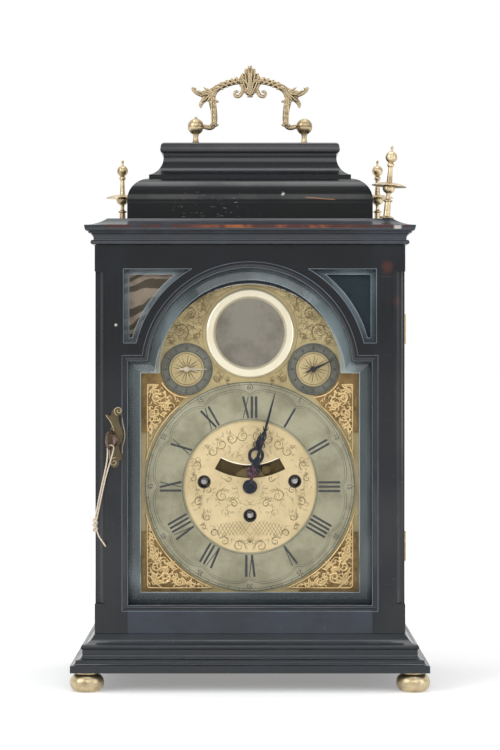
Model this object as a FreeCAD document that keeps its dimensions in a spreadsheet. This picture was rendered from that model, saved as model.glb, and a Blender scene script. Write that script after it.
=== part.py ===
import FreeCAD, Part
import math
import os
import Sketcher

# A bracket clock: an ebonised break-arch case with an inverted-bell top, a hinged front and back
# door, an arched dial with three winding holes, and a three-train movement behind it.
# Millimetres. X is to the right seen from the front, the front faces -Y, Z is up.
# The origin is under the middle of the clock, at the height of the soles of its feet.

SIZES = {
    # case
    "case_half_width": 132.0,
    "case_half_depth": 84.0,
    "case_height": 331.1,
    "case_wall": 12.0,
    "door_gap": 1.0,
    "wood_gap": 0.4,
    # bun feet
    "foot_height": 16.5,
    "foot_radius": 14.6,
    "foot_sole_radius": 7.0,
    "foot_top_radius": 9.0,
    "foot_equator": 7.8,
    "foot_collar": 1.5,
    "foot_stud_radius": 3.0,
    "foot_stud_length": 9.0,
    "foot_inset": 13.6,
    "foot_inset_deep": 12.1,
    # plinth
    "plinth_height": 30.8,
    "plinth_spread": 19.6,
    "plinth_base": 6.2,
    "plinth_fillet": 15.2,
    "plinth_fillet_low": 8.8,
    "plinth_fillet_high": 10.5,
    "plinth_neck": 9.8,
    "plinth_neck_low": 14.5,
    "plinth_neck_high": 18.7,
    "plinth_torus": 1.2,
    "plinth_torus_top": 7.6,
    "plinth_torus_high": 22.6,
    "plinth_inner_wall": 33.6,
    "bottom_board_thickness": 7.0,
    # side windows
    "side_window_half": 48.0,
    "side_window_sill": 66.0,
    "side_window_spring": 196.0,
    "side_rebate": 3.0,
    "side_glass_thickness": 2.5,
    # cornice
    "cornice_height": 22.8,
    "cornice_lip": 8.4,
    "cornice_lip_rise": 14.4,
    "cornice_fillet": 5.0,
    "cornice_bead": 3.4,
    "cornice_top_inset": 10.1,
    "cornice_recess": 10.0,
    # the two tiers of the top
    "tier_half_width": 105.8,
    "tier_half_depth": 57.9,
    "tier_height": 36.8,
    "tier_upright": 14.3,
    "tier_roll": 17.2,
    "cap_half_width": 87.85,
    "cap_half_depth": 39.95,
    "cap_fillet": 3.6,
    "cap_step": 0.8,
    "cap_hollow": 11.15,
    "cap_hollow_rise": 19.2,
    "cap_lip": 2.6,
    "cap_lip_rise": 3.7,
    "cap_edge": 6.0,
    # finials
    "finial_dish_radius": 6.3,
    "finial_dish": 1.8,
    "finial_stem_radius": 3.0,
    "finial_stem": 12.4,
    "finial_ring_radius": 4.0,
    "finial_cup_radius": 5.4,
    "finial_cup": 5.4,
    "finial_neck": 6.0,
    "finial_disc_radius": 15.0,
    "finial_disc": 0.8,
    "finial_disc_droop": 1.8,
    "finial_column_radius": 2.5,
    "finial_column": 13.5,
    "finial_knop_radius": 3.0,
    "finial_ball_radius": 5.05,
    "finial_tip_radius": 1.2,
    "finial_tip": 4.8,
    "finial_spigot_radius": 2.0,
    "finial_spigot": 8.0,
    "finial_reach": 117.0,
    "finial_reach_deep": 68.8,
    "finial_lean": 4.5,
    # carrying handle
    "post_reach": 48.1,
    "post_flange_radius": 6.0,
    "post_flange": 1.8,
    "post_neck_radius": 2.9,
    "post_neck": 8.3,
    "post_ball_radius": 7.2,
    "post_groove": 0.5,
    "pivot_radius": 1.5,
    "handle_rise": 56.1,
    "handle_half_width": 53.0,
    "handle_thickness": 7.0,
    "handle_side_gap": 0.6,
    "fit": 0.05,
    # front door
    "door_thickness": 20.0,
    "stile_width": 28.0,
    "chamfer": 9.0,
    "chamfer_hollow": 5.2,
    "chamfer_step": 1.2,
    "chamfer_foot": 25.5,
    "chamfer_head": 22.9,
    "hand_rise": 124.0,
    "opening_half_width": 103.2,
    "opening_drop": 99.2,
    "opening_shoulder": 107.2,
    "opening_arch": 99.9,
    "opening_radius": 87.0,
    "moulding_width": 5.5,
    "moulding_sill": 4.1,
    "moulding_shoulder": 7.1,
    "moulding_arch": 6.2,
    "moulding_set": 1.0,
    "moulding_depth": 10.0,
    "moulding_round": 3.4,
    "glass_cover": 2.6,
    "glass_thickness": 3.5,
    "glass_bevel": 12.0,
    "glass_bevel_depth": 1.6,
    "bead_depth": 3.0,
    "corner_reach": 107.6,
    "corner_sill": 123.3,
    "corner_head": 186.4,
    "corner_radius": 99.7,
    "corner_pocket": 10.0,
    "lining_thickness": 1.0,
    "corner_glass_thickness": 3.0,
    "corner_bevel": 4.5,
    "corner_bevel_depth": 1.2,
    # hinges
    "knuckle_radius": 1.9,
    "hinge_pin_radius": 0.8,
    "leaf_thickness": 1.2,
    "leaf_width": 10.5,
    "hinge_length": 25.6,
    "hinge_low": 60.4,
    "hinge_high": 246.5,
    "knuckle_gap": 0.3,
    # lock, escutcheon and key
    "key_inset": 17.5,
    "key_rise": 165.3,
    "key_shank_radius": 1.6,
    "key_collar_radius": 2.6,
    "key_collar": 2.6,
    "key_bow_radius": 6.9,
    "key_bow_wire": 1.4,
    "key_bow_turn": 25.0,
    "key_bit_length": 3.6,
    "key_bit_width": 1.4,
    "key_bit_depth": 3.0,
    "keyhole_gap": 0.3,
    "escutcheon_thickness": 1.2,
    "lock_width": 21.0,
    "lock_inset": 2.0,
    "lock_height": 34.0,
    "lock_depth": 8.0,
    "lock_wall": 1.2,
    "bolt_width": 4.0,
    "bolt_height": 20.0,
    "bolt_thickness": 2.4,
    "bolt_travel": 4.0,
    "hook_reach": 7.0,
    "hook_height": 5.0,
    "hook_tip": 3.0,
    "bolt_gap": 0.3,
    # string
    "string_radius": 0.65,
    "knot_radius": 2.2,
    # back door
    "back_door_thickness": 10.0,
    "back_rail": 26.0,
    "back_glass_thickness": 2.5,
    "back_rebate": 3.0,
    "back_leaf_width": 8.0,
    "catch_length": 17.0,
    "catch_width": 6.0,
    "catch_thickness": 2.2,
    "catch_screw_radius": 1.6,
    # dial
    "dial_setback": 24.0,
    "dial_thickness": 2.5,
    "dial_half_width": 93.8,
    "dial_drop": 90.9,
    "dial_shoulder": 98.6,
    "dial_arch": 92.1,
    "dial_radius": 82.2,
    "mask_gap": 0.3,
    "mask_thickness": 6.0,
    "chapter_outer": 90.4,
    "chapter_inner": 57.0,
    "chapter_thickness": 1.5,
    "mount_gap": 1.2,
    "mount_thickness": 2.0,
    "mount_reach": 51.0,
    "winding_hole": 5.0,
    "slot_inner": 52.9,
    "slot_outer": 63.7,
    "slot_half_angle": 28.5,
    "boss_rise": 132.1,
    "boss_radius": 29.7,
    "boss_thickness": 1.8,
    "bezel_radius": 38.6,
    "bezel_thickness": 4.5,
    "bezel_round": 2.0,
    "subsidiary_reach": 54.5,
    "subsidiary_rise": 101.0,
    "subsidiary_outer": 22.4,
    "subsidiary_inner": 14.9,
    "subsidiary_thickness": 1.2,
    "pointer_length": 20.0,
    "pointer_tail": 7.0,
    "pointer_boss": 2.4,
    "pointer_thickness": 0.8,
    "dial_foot_radius": 2.2,
    # hands
    "hand_thickness": 0.8,
    "hand_boss": 6.0,
    "minute_length": 84.0,
    "minute_turn": 15.0,
    "hour_length": 47.5,
    "hour_turn": 11.0,
    "hour_ring": 6.9,
    "hour_ring_place": 27.5,
    "hand_bar": 2.2,
    "hour_pipe_radius": 3.0,
    "minute_pipe_radius": 2.2,
    "hand_gap": 1.4,
    # movement frame
    "dial_foot_length": 11.5,
    "plate_thickness": 3.0,
    "plate_spacing": 57.0,
    "plate_half_width": 72.0,
    "plate_drop": 64.0,
    "plate_rise": 84.0,
    "pillar_radius": 3.6,
    "pillar_inset": 8.0,
    "seat_thickness": 12.0,
    "seat_ahead": 4.0,
    "seat_behind": 1.0,
    # trains
    "gear_module": 0.5,
    "backlash": 0.14,
    "great_teeth": 92,
    "centre_teeth": 84,
    "third_teeth": 84,
    "pinion_leaves": 8,
    "wheel_thickness": 2.0,
    "pinion_length": 5.0,
    "arbor_radius": 1.2,
    "pivot_end_radius": 0.8,
    "end_shake": 0.15,
    "barrel_radius": 20.0,
    "barrel_wall": 1.5,
    "barrel_length": 33.0,
    "winding_radius": 3.0,
    "winding_square": 3.7,
    "ratchet_radius": 8.0,
    "ratchet_teeth": 24,
    "ratchet_tooth": 1.2,
    "winding_drop": 25.0,
    "strike_reach": 39.5,
    "strike_rise": 4.0,
    "quarter_reach": 38.5,
    "quarter_rise": 4.5,
    "second_teeth": 72,
    "third_lean": -12.0,
    "escape_teeth": 40,
    "escape_radius": 15.0,
    "escape_tooth": 3.0,
    "pallet_rise": 71.0,
    "pallet_gap": 1.9,
    "cannon_teeth": 20,
    "minute_teeth": 60,
    "minute_leaves": 16,
    "hour_teeth": 64,
    "minute_wheel_angle": 45.0,
    # pendulum and false pendulum
    "rod_radius": 1.2,
    "rod_set": 9.0,
    "bob_drop": 151.0,
    "bob_radius": 18.0,
    "bob_thickness": 8.0,
    "false_bob_drop": 58.3,
    "false_bob_radius": 4.6,
    "false_bob_thickness": 0.8,
    # bells
    "hour_bell_radius": 36.0,
    "quarter_bell_radius": 28.0,
    "bell_wall": 2.0,
    "bell_reach": 44.0,
    "bell_rise": 132.0,
    "strap_width": 7.0,
    "strap_thickness": 2.0,
    "stud_radius": 2.0,
}

doc = FreeCAD.newDocument("bracket_clock")
sheet = doc.addObject("Spreadsheet::Sheet", "Sizes")


class Size:
    """A number together with the expression that gives it from the sheet."""

    def __init__(self, value, text):
        self.value = value
        self.text = text

    def __add__(self, other):
        return both(self, other, "+", self.value + number(other))

    def __radd__(self, other):
        return both(other, self, "+", number(other) + self.value)

    def __sub__(self, other):
        return both(self, other, "-", self.value - number(other))

    def __rsub__(self, other):
        return both(other, self, "-", number(other) - self.value)

    def __mul__(self, other):
        return both(self, other, "*", self.value * number(other))

    def __rmul__(self, other):
        return both(other, self, "*", number(other) * self.value)

    def __truediv__(self, other):
        return both(self, other, "/", self.value / number(other))

    def __rtruediv__(self, other):
        return both(other, self, "/", number(other) / self.value)

    def __neg__(self):
        return Size(-self.value, "(-" + self.text + ")")


def number(size):
    return size.value if isinstance(size, Size) else float(size)


def words(size):
    return size.text if isinstance(size, Size) else "(" + repr(float(size)) + ")"


def both(left, right, sign, value):
    return Size(value, "(" + words(left) + " " + sign + " " + words(right) + ")")


def root(size):
    return Size(math.sqrt(size.value), "sqrt(" + size.text + ")")


def sine(degrees):
    return Size(math.sin(math.radians(number(degrees))), "sin(" + words(degrees) + " * 1 deg)")


def cosine(degrees):
    return Size(math.cos(math.radians(number(degrees))), "cos(" + words(degrees) + " * 1 deg)")


class Sizes:
    """Every cell of the sheet as an attribute."""


S = Sizes()
for row, (alias, size) in enumerate(SIZES.items(), start=1):
    sheet.set(f"A{row}", alias)
    sheet.set(f"B{row}", str(size))
    sheet.setAlias(f"B{row}", alias)
    setattr(S, alias, Size(float(size), "Sizes." + alias))
doc.recompute()

# heights, from the soles of the feet up
PLINTH_LOW = S.foot_height
PLINTH_TOP = PLINTH_LOW + S.plinth_height
CORNICE_LOW = PLINTH_TOP + S.case_height
CORNICE_TOP = CORNICE_LOW + S.cornice_height
TIER_TOP = CORNICE_TOP + S.tier_height
CAP_TOP = TIER_TOP + S.cap_fillet + S.cap_hollow_rise + S.cap_lip_rise + S.cap_edge
HANDS = PLINTH_TOP + S.hand_rise
BALL = CAP_TOP + S.post_flange + S.post_neck + 0.914 * S.post_ball_radius
KEY = HANDS - S.hand_rise + S.key_rise

# depths, from the front of the door back
FRONT = -S.case_half_depth
DOOR_BACK = FRONT + S.door_thickness
CARCASS = DOOR_BACK + S.door_gap
GLASS = FRONT + S.moulding_set + S.moulding_depth
DIAL = FRONT + S.dial_setback
DIAL_BACK = DIAL + S.dial_thickness
PLATE_A = DIAL_BACK + S.dial_foot_length
PLATE_A_BACK = PLATE_A + S.plate_thickness
PLATE_B = PLATE_A_BACK + S.plate_spacing
PLATE_B_BACK = PLATE_B + S.plate_thickness
INNER = S.case_half_width - S.case_wall

NODES = []


def bind(thing, prop, size):
    thing.setExpression(prop, words(size))


def place(thing, x, y, z, axis=None, angle=0.0):
    """Puts a thing at a point, turned about an axis by an angle in degrees."""
    if axis:
        thing.Placement = FreeCAD.Placement(FreeCAD.Vector(),
                                            FreeCAD.Rotation(FreeCAD.Vector(*axis), number(angle)))
    bind(thing, "Placement.Base.x", x)
    bind(thing, "Placement.Base.y", y)
    bind(thing, "Placement.Base.z", z)
    return thing


def block(name, x, y, z):
    """A box between two places along each axis."""
    box = doc.addObject("Part::Box", name)
    bind(box, "Length", x[1] - x[0])
    bind(box, "Width", y[1] - y[0])
    bind(box, "Height", z[1] - z[0])
    return place(box, x[0], y[0], z[0])


def rod(name, radius, start, end, x, other, axis="y"):
    """A cylinder along Y at (x, z), or along Z at (x, y), or along X at (y, z)."""
    solid = doc.addObject("Part::Cylinder", name)
    bind(solid, "Radius", radius)
    bind(solid, "Height", end - start)
    if axis == "y":
        return place(solid, x, start, other, (1, 0, 0), -90.0)
    if axis == "x":
        return place(solid, start, x, other, (0, 1, 0), 90.0)
    return place(solid, x, other, start)


def cut(name, base, *tools):
    result = doc.addObject("Part::Cut", name)
    result.Base = base
    result.Tool = tools[0] if len(tools) == 1 else group(name + "_tools", *tools)
    return result


def fuse(name, *parts):
    result = doc.addObject("Part::MultiFuse", name)
    result.Shapes = list(parts)
    return result


def common(name, *parts):
    result = doc.addObject("Part::MultiCommon", name)
    result.Shapes = list(parts)
    return result


def group(name, *parts):
    result = doc.addObject("Part::Compound", name)
    result.Links = list(parts)
    return result


def mirror(name, source, normal=(1, 0, 0)):
    result = doc.addObject("Part::Mirroring", name)
    result.Source = source
    result.Normal = FreeCAD.Vector(*normal)
    return result


def pair(name, source, normal=(1, 0, 0)):
    """A thing and its mirror image across the middle of the clock."""
    return group(name, source, mirror(name + "_mirrored", source, normal))


def node(name, thing):
    thing.Label = name
    NODES.append(thing)
    return thing


def arc_centre(p, q, r):
    """The middle of the circle through three points."""
    d = 2 * (p[0] * (q[1] - r[1]) + q[0] * (r[1] - p[1]) + r[0] * (p[1] - q[1]))
    pp, qq, rr = (v[0] ** 2 + v[1] ** 2 for v in (p, q, r))
    x = (pp * (q[1] - r[1]) + qq * (r[1] - p[1]) + rr * (p[1] - q[1])) / d
    y = (pp * (r[0] - q[0]) + qq * (p[0] - r[0]) + rr * (q[0] - p[0])) / d
    return x, y


def draw(sketch, *outlines):
    """Draws closed outlines. A point is (x, y), and ("arc", middle, end) is an arc to its end."""
    shapes, rules, sizes = [], [], []

    def fix(geometry, corner, point):
        for kind, size in (("DistanceX", point[0]), ("DistanceY", point[1])):
            rules.append(Sketcher.Constraint(kind, -1, 1, geometry, corner, number(size)))
            sizes.append((len(rules) - 1, size))

    for outline in outlines:
        ends = [step[2] if step[0] == "arc" else step for step in outline]
        joints = []
        first = len(shapes)
        middles = []
        for i, step in enumerate(outline[1:] + outline[:1]):
            a = [number(v) for v in ends[i]]
            b = [number(v) for v in ends[(i + 1) % len(ends)]]
            if step[0] == "arc":
                m = [number(v) for v in step[1]]
                c = arc_centre(a, m, b)
                turn = (m[0] - a[0]) * (b[1] - m[1]) - (m[1] - a[1]) * (b[0] - m[0])
                start, end = (a, b) if turn > 0 else (b, a)
                angles = [math.atan2(v[1] - c[1], v[0] - c[0]) for v in (start, end)]
                circle = Part.Circle(FreeCAD.Vector(*c, 0), FreeCAD.Vector(0, 0, 1), math.dist(a, c))
                shapes.append(Part.ArcOfCircle(circle, angles[0], angles[1]))
                joints.append((1, 2) if turn > 0 else (2, 1))
                middles.append((len(shapes) - 1, step[1]))
            else:
                shapes.append(Part.LineSegment(FreeCAD.Vector(*a, 0), FreeCAD.Vector(*b, 0)))
                joints.append((1, 2))
        count = len(joints)
        for i in range(count):
            after = (i + 1) % count
            rules.append(Sketcher.Constraint("Coincident", first + i, joints[i][1], first + after,
                                             joints[after][0]))
            fix(first + i, joints[i][0], ends[i])
        for arc, middle in middles:
            shapes.append(Part.Point(FreeCAD.Vector(number(middle[0]), number(middle[1]), 0)))
            fix(len(shapes) - 1, 1, middle)
            rules.append(Sketcher.Constraint("PointOnObject", len(shapes) - 1, 1, arc))
    sketch.addGeometry(shapes, False)
    for i, shape in enumerate(shapes):
        if isinstance(shape, Part.Point):
            sketch.setConstruction(i, True)
    sketch.addConstraint(rules)
    for index, size in sizes:
        if isinstance(size, Size):
            sketch.setExpression(f"Constraints[{index}]", size.text)


PLANES = {"y": ((1, 0, 0), 90.0), "z": ((0, 0, 1), 0.0), "x": ((1, 1, 1), 120.0)}


def slab(name, axis, start, end, *outlines):
    """An outline drawn across an axis, (x, z) across Y, (x, y) across Z or (y, z) across X, made solid."""
    sketch = doc.addObject("Sketcher::SketchObject", name + "_outline")
    draw(sketch, *outlines)
    x, y, z = (start if axis == a else 0.0 for a in "xyz")
    place(sketch, x, y, z, *PLANES[axis])
    solid = doc.addObject("Part::Extrusion", name)
    solid.Base = sketch
    solid.DirMode = "Custom"
    solid.Dir = FreeCAD.Vector(*(1.0 if axis == a else 0.0 for a in "xyz"))
    solid.Solid = True
    bind(solid, "LengthFwd", end - start)
    return solid


def origin_plane(body, role):
    return next(f for f in body.Origin.OriginFeatures if f.Role == role)


def turned(name, x, y, z, profile, axis=None, angle=0.0):
    """A piece turned on a lathe: a profile of (radius, height) about its own Z."""
    body = doc.addObject("PartDesign::Body", name)
    sketch = body.newObject("Sketcher::SketchObject", name + "_profile")
    sketch.AttachmentSupport = [(origin_plane(body, "XZ_Plane"), "")]
    sketch.MapMode = "FlatFace"
    draw(sketch, profile)
    turn = body.newObject("PartDesign::Revolution", name + "_turning")
    turn.Profile = sketch
    turn.ReferenceAxis = (sketch, ["V_Axis"])
    turn.Angle = 360.0
    sketch.Visibility = False
    return place(body, x, y, z, axis, angle)


TO_BACK = ((1, 0, 0), -90.0)
TO_FRONT = ((1, 0, 0), 90.0)


def moulded(name, half_width, half_depth, profile):
    """A rectangular piece with the same mitred moulding on all four sides.

    The profile runs from the bottom edge to the top edge as (distance out, height) from the
    half width and half depth.
    """
    silhouettes = []
    for axis, half in (("y", half_width), ("x", half_depth)):
        right, left = [], []
        for step in profile:
            if step[0] == "arc":
                right.append(("arc", (half + step[1][0], step[1][1]), (half + step[2][0], step[2][1])))
            else:
                right.append((half + step[0], step[1]))
        ends = [step[2] if step[0] == "arc" else step for step in profile]
        for i in range(len(profile) - 1, -1, -1):
            after = profile[i + 1] if i + 1 < len(profile) else None
            end = (-(half + ends[i][0]), ends[i][1])
            if after is not None and after[0] == "arc":
                left.append(("arc", (-(half + after[1][0]), after[1][1]), end))
            else:
                left.append(end)
        other = half_depth if axis == "y" else half_width
        reach = other + S.plinth_spread * 2
        silhouettes.append(slab(f"{name}_{axis}", axis, -reach, reach, right + left))
    return common(name, *silhouettes)


def arched(half_width, low, shoulder, centre, radius):
    """A break-arch outline: a rectangle with a round arch on its shoulders."""
    rise = shoulder - centre
    spring = root(radius * radius - rise * rise)
    return [
        (-half_width, low),
        (half_width, low),
        (half_width, shoulder),
        (spring, shoulder),
        ("arc", (0.0, centre + radius), (-spring, shoulder)),
        (-half_width, shoulder),
    ]


def toothed(name, points, bore, x, z, start, end):
    """A wheel about Y with an outline of corners and a round hole for what it sits on."""
    rim = Part.makePolygon(points + points[:1])
    hole = Part.Wire(Part.makeCircle(number(bore), FreeCAD.Vector(), FreeCAD.Vector(0, 1, 0)))
    solid = doc.addObject("Part::Feature", name)
    solid.Shape = Part.makeFace([rim, hole], "Part::FaceMakerBullseye").extrude(
        FreeCAD.Vector(0, number(end - start), 0))
    return place(solid, x, start, z)


def gear(name, teeth, x, z, start, end, direction, bore):
    """A spur wheel about Y with a tooth pointing in a direction, in degrees from +X towards +Z."""
    teeth, module = int(number(teeth)), number(S.gear_module)
    pitch = teeth * module / 2
    base = pitch * math.cos(PRESSURE)
    tip, low = pitch + ADDENDUM * module, pitch - DEDENDUM * module
    half = (math.pi * module / 2 - number(S.backlash)) / 2 / pitch + involute(PRESSURE)
    radii = [low] + [base] * (base > low) + [pitch, tip]
    flank = [(r, half - involute(math.acos(min(1.0, base / r)))) for r in radii]
    points = []
    for tooth in range(teeth):
        middle = math.radians(number(direction)) + tooth * 2 * math.pi / teeth
        for r, a in [(r, middle - a) for r, a in flank] + [(r, middle + a) for r, a in reversed(flank)]:
            points.append(FreeCAD.Vector(r * math.cos(a), 0, r * math.sin(a)))
    return toothed(name, points, bore, x, z, start, end)


PRESSURE = math.radians(25.0)
ADDENDUM = 0.65
DEDENDUM = 0.85


def involute(angle):
    return math.tan(angle) - angle


def pitch_radius(teeth):
    return S.gear_module * teeth / 2.0


# ---------------------------------------------------------------- the case

def bun_feet():
    profile = [
        (0.0, 0.0),
        (S.foot_sole_radius, 0.0),
        ("arc", (S.foot_radius, S.foot_equator), (S.foot_top_radius, S.foot_height - S.foot_collar)),
        (S.foot_top_radius, S.foot_height),
        (S.foot_stud_radius, S.foot_height),
        (S.foot_stud_radius, S.foot_height + S.foot_stud_length),
        (0.0, S.foot_height + S.foot_stud_length),
    ]
    foot = turned("foot", FOOT_X, FOOT_Y, 0.0, profile)
    node("bun_feet", pair("feet", pair("side_feet", foot), (0, 1, 0)))


FOOT_X = S.case_half_width + S.plinth_spread - S.foot_inset
FOOT_Y = S.case_half_depth + S.plinth_spread - S.foot_inset_deep


def four(name, thing):
    return pair(name, pair(name + "_side", thing), (0, 1, 0))


def plinth():
    low, top = PLINTH_LOW, PLINTH_TOP
    fillet, neck = S.plinth_fillet, S.plinth_neck
    profile = [
        (S.plinth_spread, low),
        (S.plinth_spread, low + S.plinth_base),
        ("arc", (0.7 * fillet + 0.3 * S.plinth_spread, low + 0.7 * S.plinth_base + 0.3 * S.plinth_fillet_low),
         (fillet, low + S.plinth_fillet_low)),
        (fillet, low + S.plinth_fillet_high),
        ("arc", (0.75 * neck + 0.25 * fillet, low + 0.7 * S.plinth_fillet_high + 0.3 * S.plinth_neck_low),
         (neck, low + S.plinth_neck_low)),
        (neck, low + S.plinth_neck_high),
        ("arc", (neck + S.plinth_torus, low + 0.6 * S.plinth_neck_high + 0.4 * S.plinth_torus_high),
         (S.plinth_torus_top, low + S.plinth_torus_high)),
        ("arc", (0.4 * S.plinth_torus_top, top - 0.55 * (S.plinth_height - S.plinth_torus_high)), (0.0, top)),
    ]
    solid = moulded("plinth_solid", S.case_half_width, S.case_half_depth, profile)
    inside = block("plinth_inside", (-WELL_X, WELL_X), (-WELL_Y, WELL_Y), (low - 1.0, top + 1.0))
    bore = rod("foot_bore", S.foot_stud_radius + S.fit, low - 1.0, low + S.foot_stud_length + 0.5, FOOT_X,
               FOOT_Y, "z")
    node("plinth", cut("plinth_frame", solid, inside, four("foot_bores", bore)))
    board = block("board", (-WELL_X, WELL_X), (-WELL_Y, WELL_Y), (top - S.bottom_board_thickness, top))
    node("bottom_board", board)


WELL_X = S.case_half_width + S.plinth_spread - S.plinth_inner_wall
WELL_Y = S.case_half_depth + S.plinth_spread - S.plinth_inner_wall


def leaf(name, at, z, side, middle, width, upright):
    """One leaf of a butt hinge whose pin stands at a point.

    The leaf lies on one side of the gap, across Y for the front hinges and across X for the back ones.
    """
    gap, thick, knuckle = S.door_gap / 2.0, S.leaf_thickness, S.knuckle_radius
    near = (gap, gap + thick) if side > 0 else (-gap - thick, -gap)
    third = S.hinge_length / 3.0
    clear = S.knuckle_gap
    spans = [(z + third + clear, z + 2.0 * third - clear)] if middle else [(z, z + third),
                                                                           (z + 2.0 * third,
                                                                            z + S.hinge_length)]

    def piece(part, along, height):
        x, y = (along, near) if not upright else (near, along)
        return block(name + part, tuple(at[0] + v for v in x), tuple(at[1] + v for v in y), height)

    parts = [piece("_plate", (-width, -knuckle - clear), (z, z + S.hinge_length))]
    for i, span in enumerate(spans):
        parts.append(piece(f"_tongue{i}", (-knuckle - 2.0 * clear, 0.0), span))
        parts.append(rod(f"{name}_knuckle{i}", knuckle, span[0], span[1], at[0], at[1], "z"))
    whole = fuse(name + "_leaf", *parts)
    bore = S.hinge_pin_radius + S.fit if middle else S.hinge_pin_radius
    drilled = cut(name + "_drilled", whole, rod(name + "_bore", bore, z - 1.0, z + S.hinge_length + 1.0,
                                                *at, "z"))
    if middle:
        return drilled
    return fuse(name + "_with_pin", drilled, rod(name + "_pin", S.hinge_pin_radius, z, z + S.hinge_length,
                                                 *at, "z"))


def mortise(name, at, z, side, width, upright):
    """The recess for one leaf, with room for the knuckles."""
    gap, thick = S.door_gap / 2.0, S.leaf_thickness
    near = (0.0, gap + thick) if side > 0 else (-gap - thick, 0.0)
    along = (-width, 0.0)
    x, y = (along, near) if not upright else (near, along)
    recess = block(name + "_recess", tuple(at[0] + v for v in x), tuple(at[1] + v for v in y),
                   (z, z + S.hinge_length))
    relief = rod(name + "_relief", S.knuckle_radius + S.knuckle_gap, z, z + S.hinge_length, *at, "z")
    return fuse(name, recess, relief)


FRONT_PIN = (S.case_half_width, CARCASS - S.door_gap / 2.0)
BACK_PIN = (INNER - S.door_gap / 2.0, S.case_half_depth + S.door_gap / 2.0)
HINGE_HEIGHTS = (PLINTH_TOP + S.hinge_low, PLINTH_TOP + S.hinge_high)
FRONT_HINGES = (FRONT_PIN, S.leaf_width, False)
BACK_HINGES = (BACK_PIN, S.back_leaf_width, True)


def leaves(name, hinges, side, middle):
    at, width, upright = hinges
    return [leaf(f"{name}{i}", at, z, side, middle, width, upright) for i, z in enumerate(HINGE_HEIGHTS)]


def mortises(name, hinges, side):
    at, width, upright = hinges
    return [mortise(f"{name}{i}", at, z, side, width, upright) for i, z in enumerate(HINGE_HEIGHTS)]


WINDOW_Y = (CARCASS + S.case_half_depth - S.back_door_thickness) / 2.0


def side_window(name, start, end, margin):
    half = S.side_window_half + margin
    low, spring = PLINTH_TOP + S.side_window_sill - margin, PLINTH_TOP + S.side_window_spring
    outline = [
        (WINDOW_Y - half, low),
        (WINDOW_Y + half, low),
        (WINDOW_Y + half, spring),
        ("arc", (WINDOW_Y, spring + half), (WINDOW_Y - half, spring)),
    ]
    return slab(name, "x", start, end, outline)


def side_frames():
    half = S.case_half_width
    frames = []
    for name in ("right", "left"):
        wall = block(name + "_side", (INNER, half), (CARCASS, S.case_half_depth), (PLINTH_TOP, CORNICE_LOW))
        window = side_window(name + "_window", INNER - 1.0, half + 1.0, 0.0)
        rebate = side_window(name + "_rebate", INNER - 1.0, INNER + S.side_glass_thickness, S.side_rebate)
        tools = [window, rebate]
        if name == "right":
            tools += mortises("case_mortise", FRONT_HINGES, 1) + mortises("case_back_mortise", BACK_HINGES, 1)
            frames.append(cut("right_frame", wall, *tools))
        else:
            solid = mirror("left_frame_solid", cut("left_frame_blank", wall, *tools))
            frames.append(cut("left_frame", solid, *hook_pocket(), catch_bore()))
    node("side_frames", group("frames", *frames))
    pane = side_window("side_pane", INNER, INNER + S.side_glass_thickness, S.side_rebate)
    node("side_glasses", pair("side_panes", pane))
    leaf_list = leaves("case_leaf", FRONT_HINGES, 1, False) + leaves("case_back_leaf", BACK_HINGES, 1, False)
    node("case_hinges", group("case_leaves", *leaf_list))


def hook_pocket():
    """Where the hook of the lock goes into the edge of the left side and up behind a lip."""
    gap, lip = S.bolt_gap + 0.2, S.hook_reach - S.hook_tip
    x = (-HOOK_X - S.bolt_width / 2.0 - gap, -HOOK_X + S.bolt_width / 2.0 + gap)
    low, raised = KEY - S.hook_height / 2.0 - 2.0 * gap, KEY + S.hook_height / 2.0 + S.bolt_travel
    mouth = block("hook_mouth", x, (CARCASS - 1.0, CARCASS + S.hook_reach + 1.0), (low, raised + gap))
    room = block("hook_room", x, (CARCASS + lip - gap, CARCASS + S.hook_reach + 1.0),
                 (low, raised + S.hook_tip + gap))
    return mouth, room


HOOK_X = S.case_half_width - S.case_wall / 2.0 + 0.5


def cornice():
    low = CORNICE_LOW
    lip_low, lip_high = low + S.cornice_lip_rise, low + S.cornice_lip_rise + 1.9
    fillet, bead = S.cornice_fillet, S.cornice_bead
    profile = [
        (0.4 * bead, low),
        ("arc", (bead, low + 1.9), (0.3 * bead, low + 3.8)),
        ("arc", (0.45 * bead, low + 7.4), (bead, low + 9.6)),
        (fillet, low + 9.6),
        (fillet, low + 11.2),
        ("arc", (0.25 * fillet + 0.75 * S.cornice_lip, low + 12.2), (S.cornice_lip - 0.4, lip_low)),
        (S.cornice_lip, lip_low),
        (S.cornice_lip, lip_high),
        ("arc", (0.5 * (S.cornice_lip - S.cornice_top_inset) - 0.6,
                 0.56 * lip_high + 0.44 * CORNICE_TOP - 0.9),
         (-S.cornice_top_inset, CORNICE_TOP)),
    ]
    solid = moulded("cornice_solid", S.case_half_width, S.case_half_depth, profile)
    recess = block("cornice_recess_box", (-INNER, INNER),
                   (-INNER + S.case_half_width - S.case_half_depth,
                    INNER - S.case_half_width + S.case_half_depth),
                   (low - 1.0, CORNICE_TOP - S.cornice_recess))
    bores = [rod(f"finial_bore{i}", S.finial_spigot_radius + S.fit, CORNICE_TOP - S.finial_spigot - 0.5,
                 CORNICE_TOP + 1.0, x, y, "z") for i, (x, y) in enumerate(UPRIGHT_FINIALS + EMPTY_FINIALS)]
    node("cornice", cut("cornice_block", solid, recess, *bores, leaning_bore()))


UPRIGHT_FINIALS = [(S.finial_reach, S.finial_reach_deep), (-S.finial_reach, S.finial_reach_deep)]
EMPTY_FINIALS = [(-S.finial_reach, -S.finial_reach_deep)]
LEANING_FINIAL = (S.finial_reach, -S.finial_reach_deep)
LEAN_RISE = S.finial_dish_radius * sine(S.finial_lean)


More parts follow.
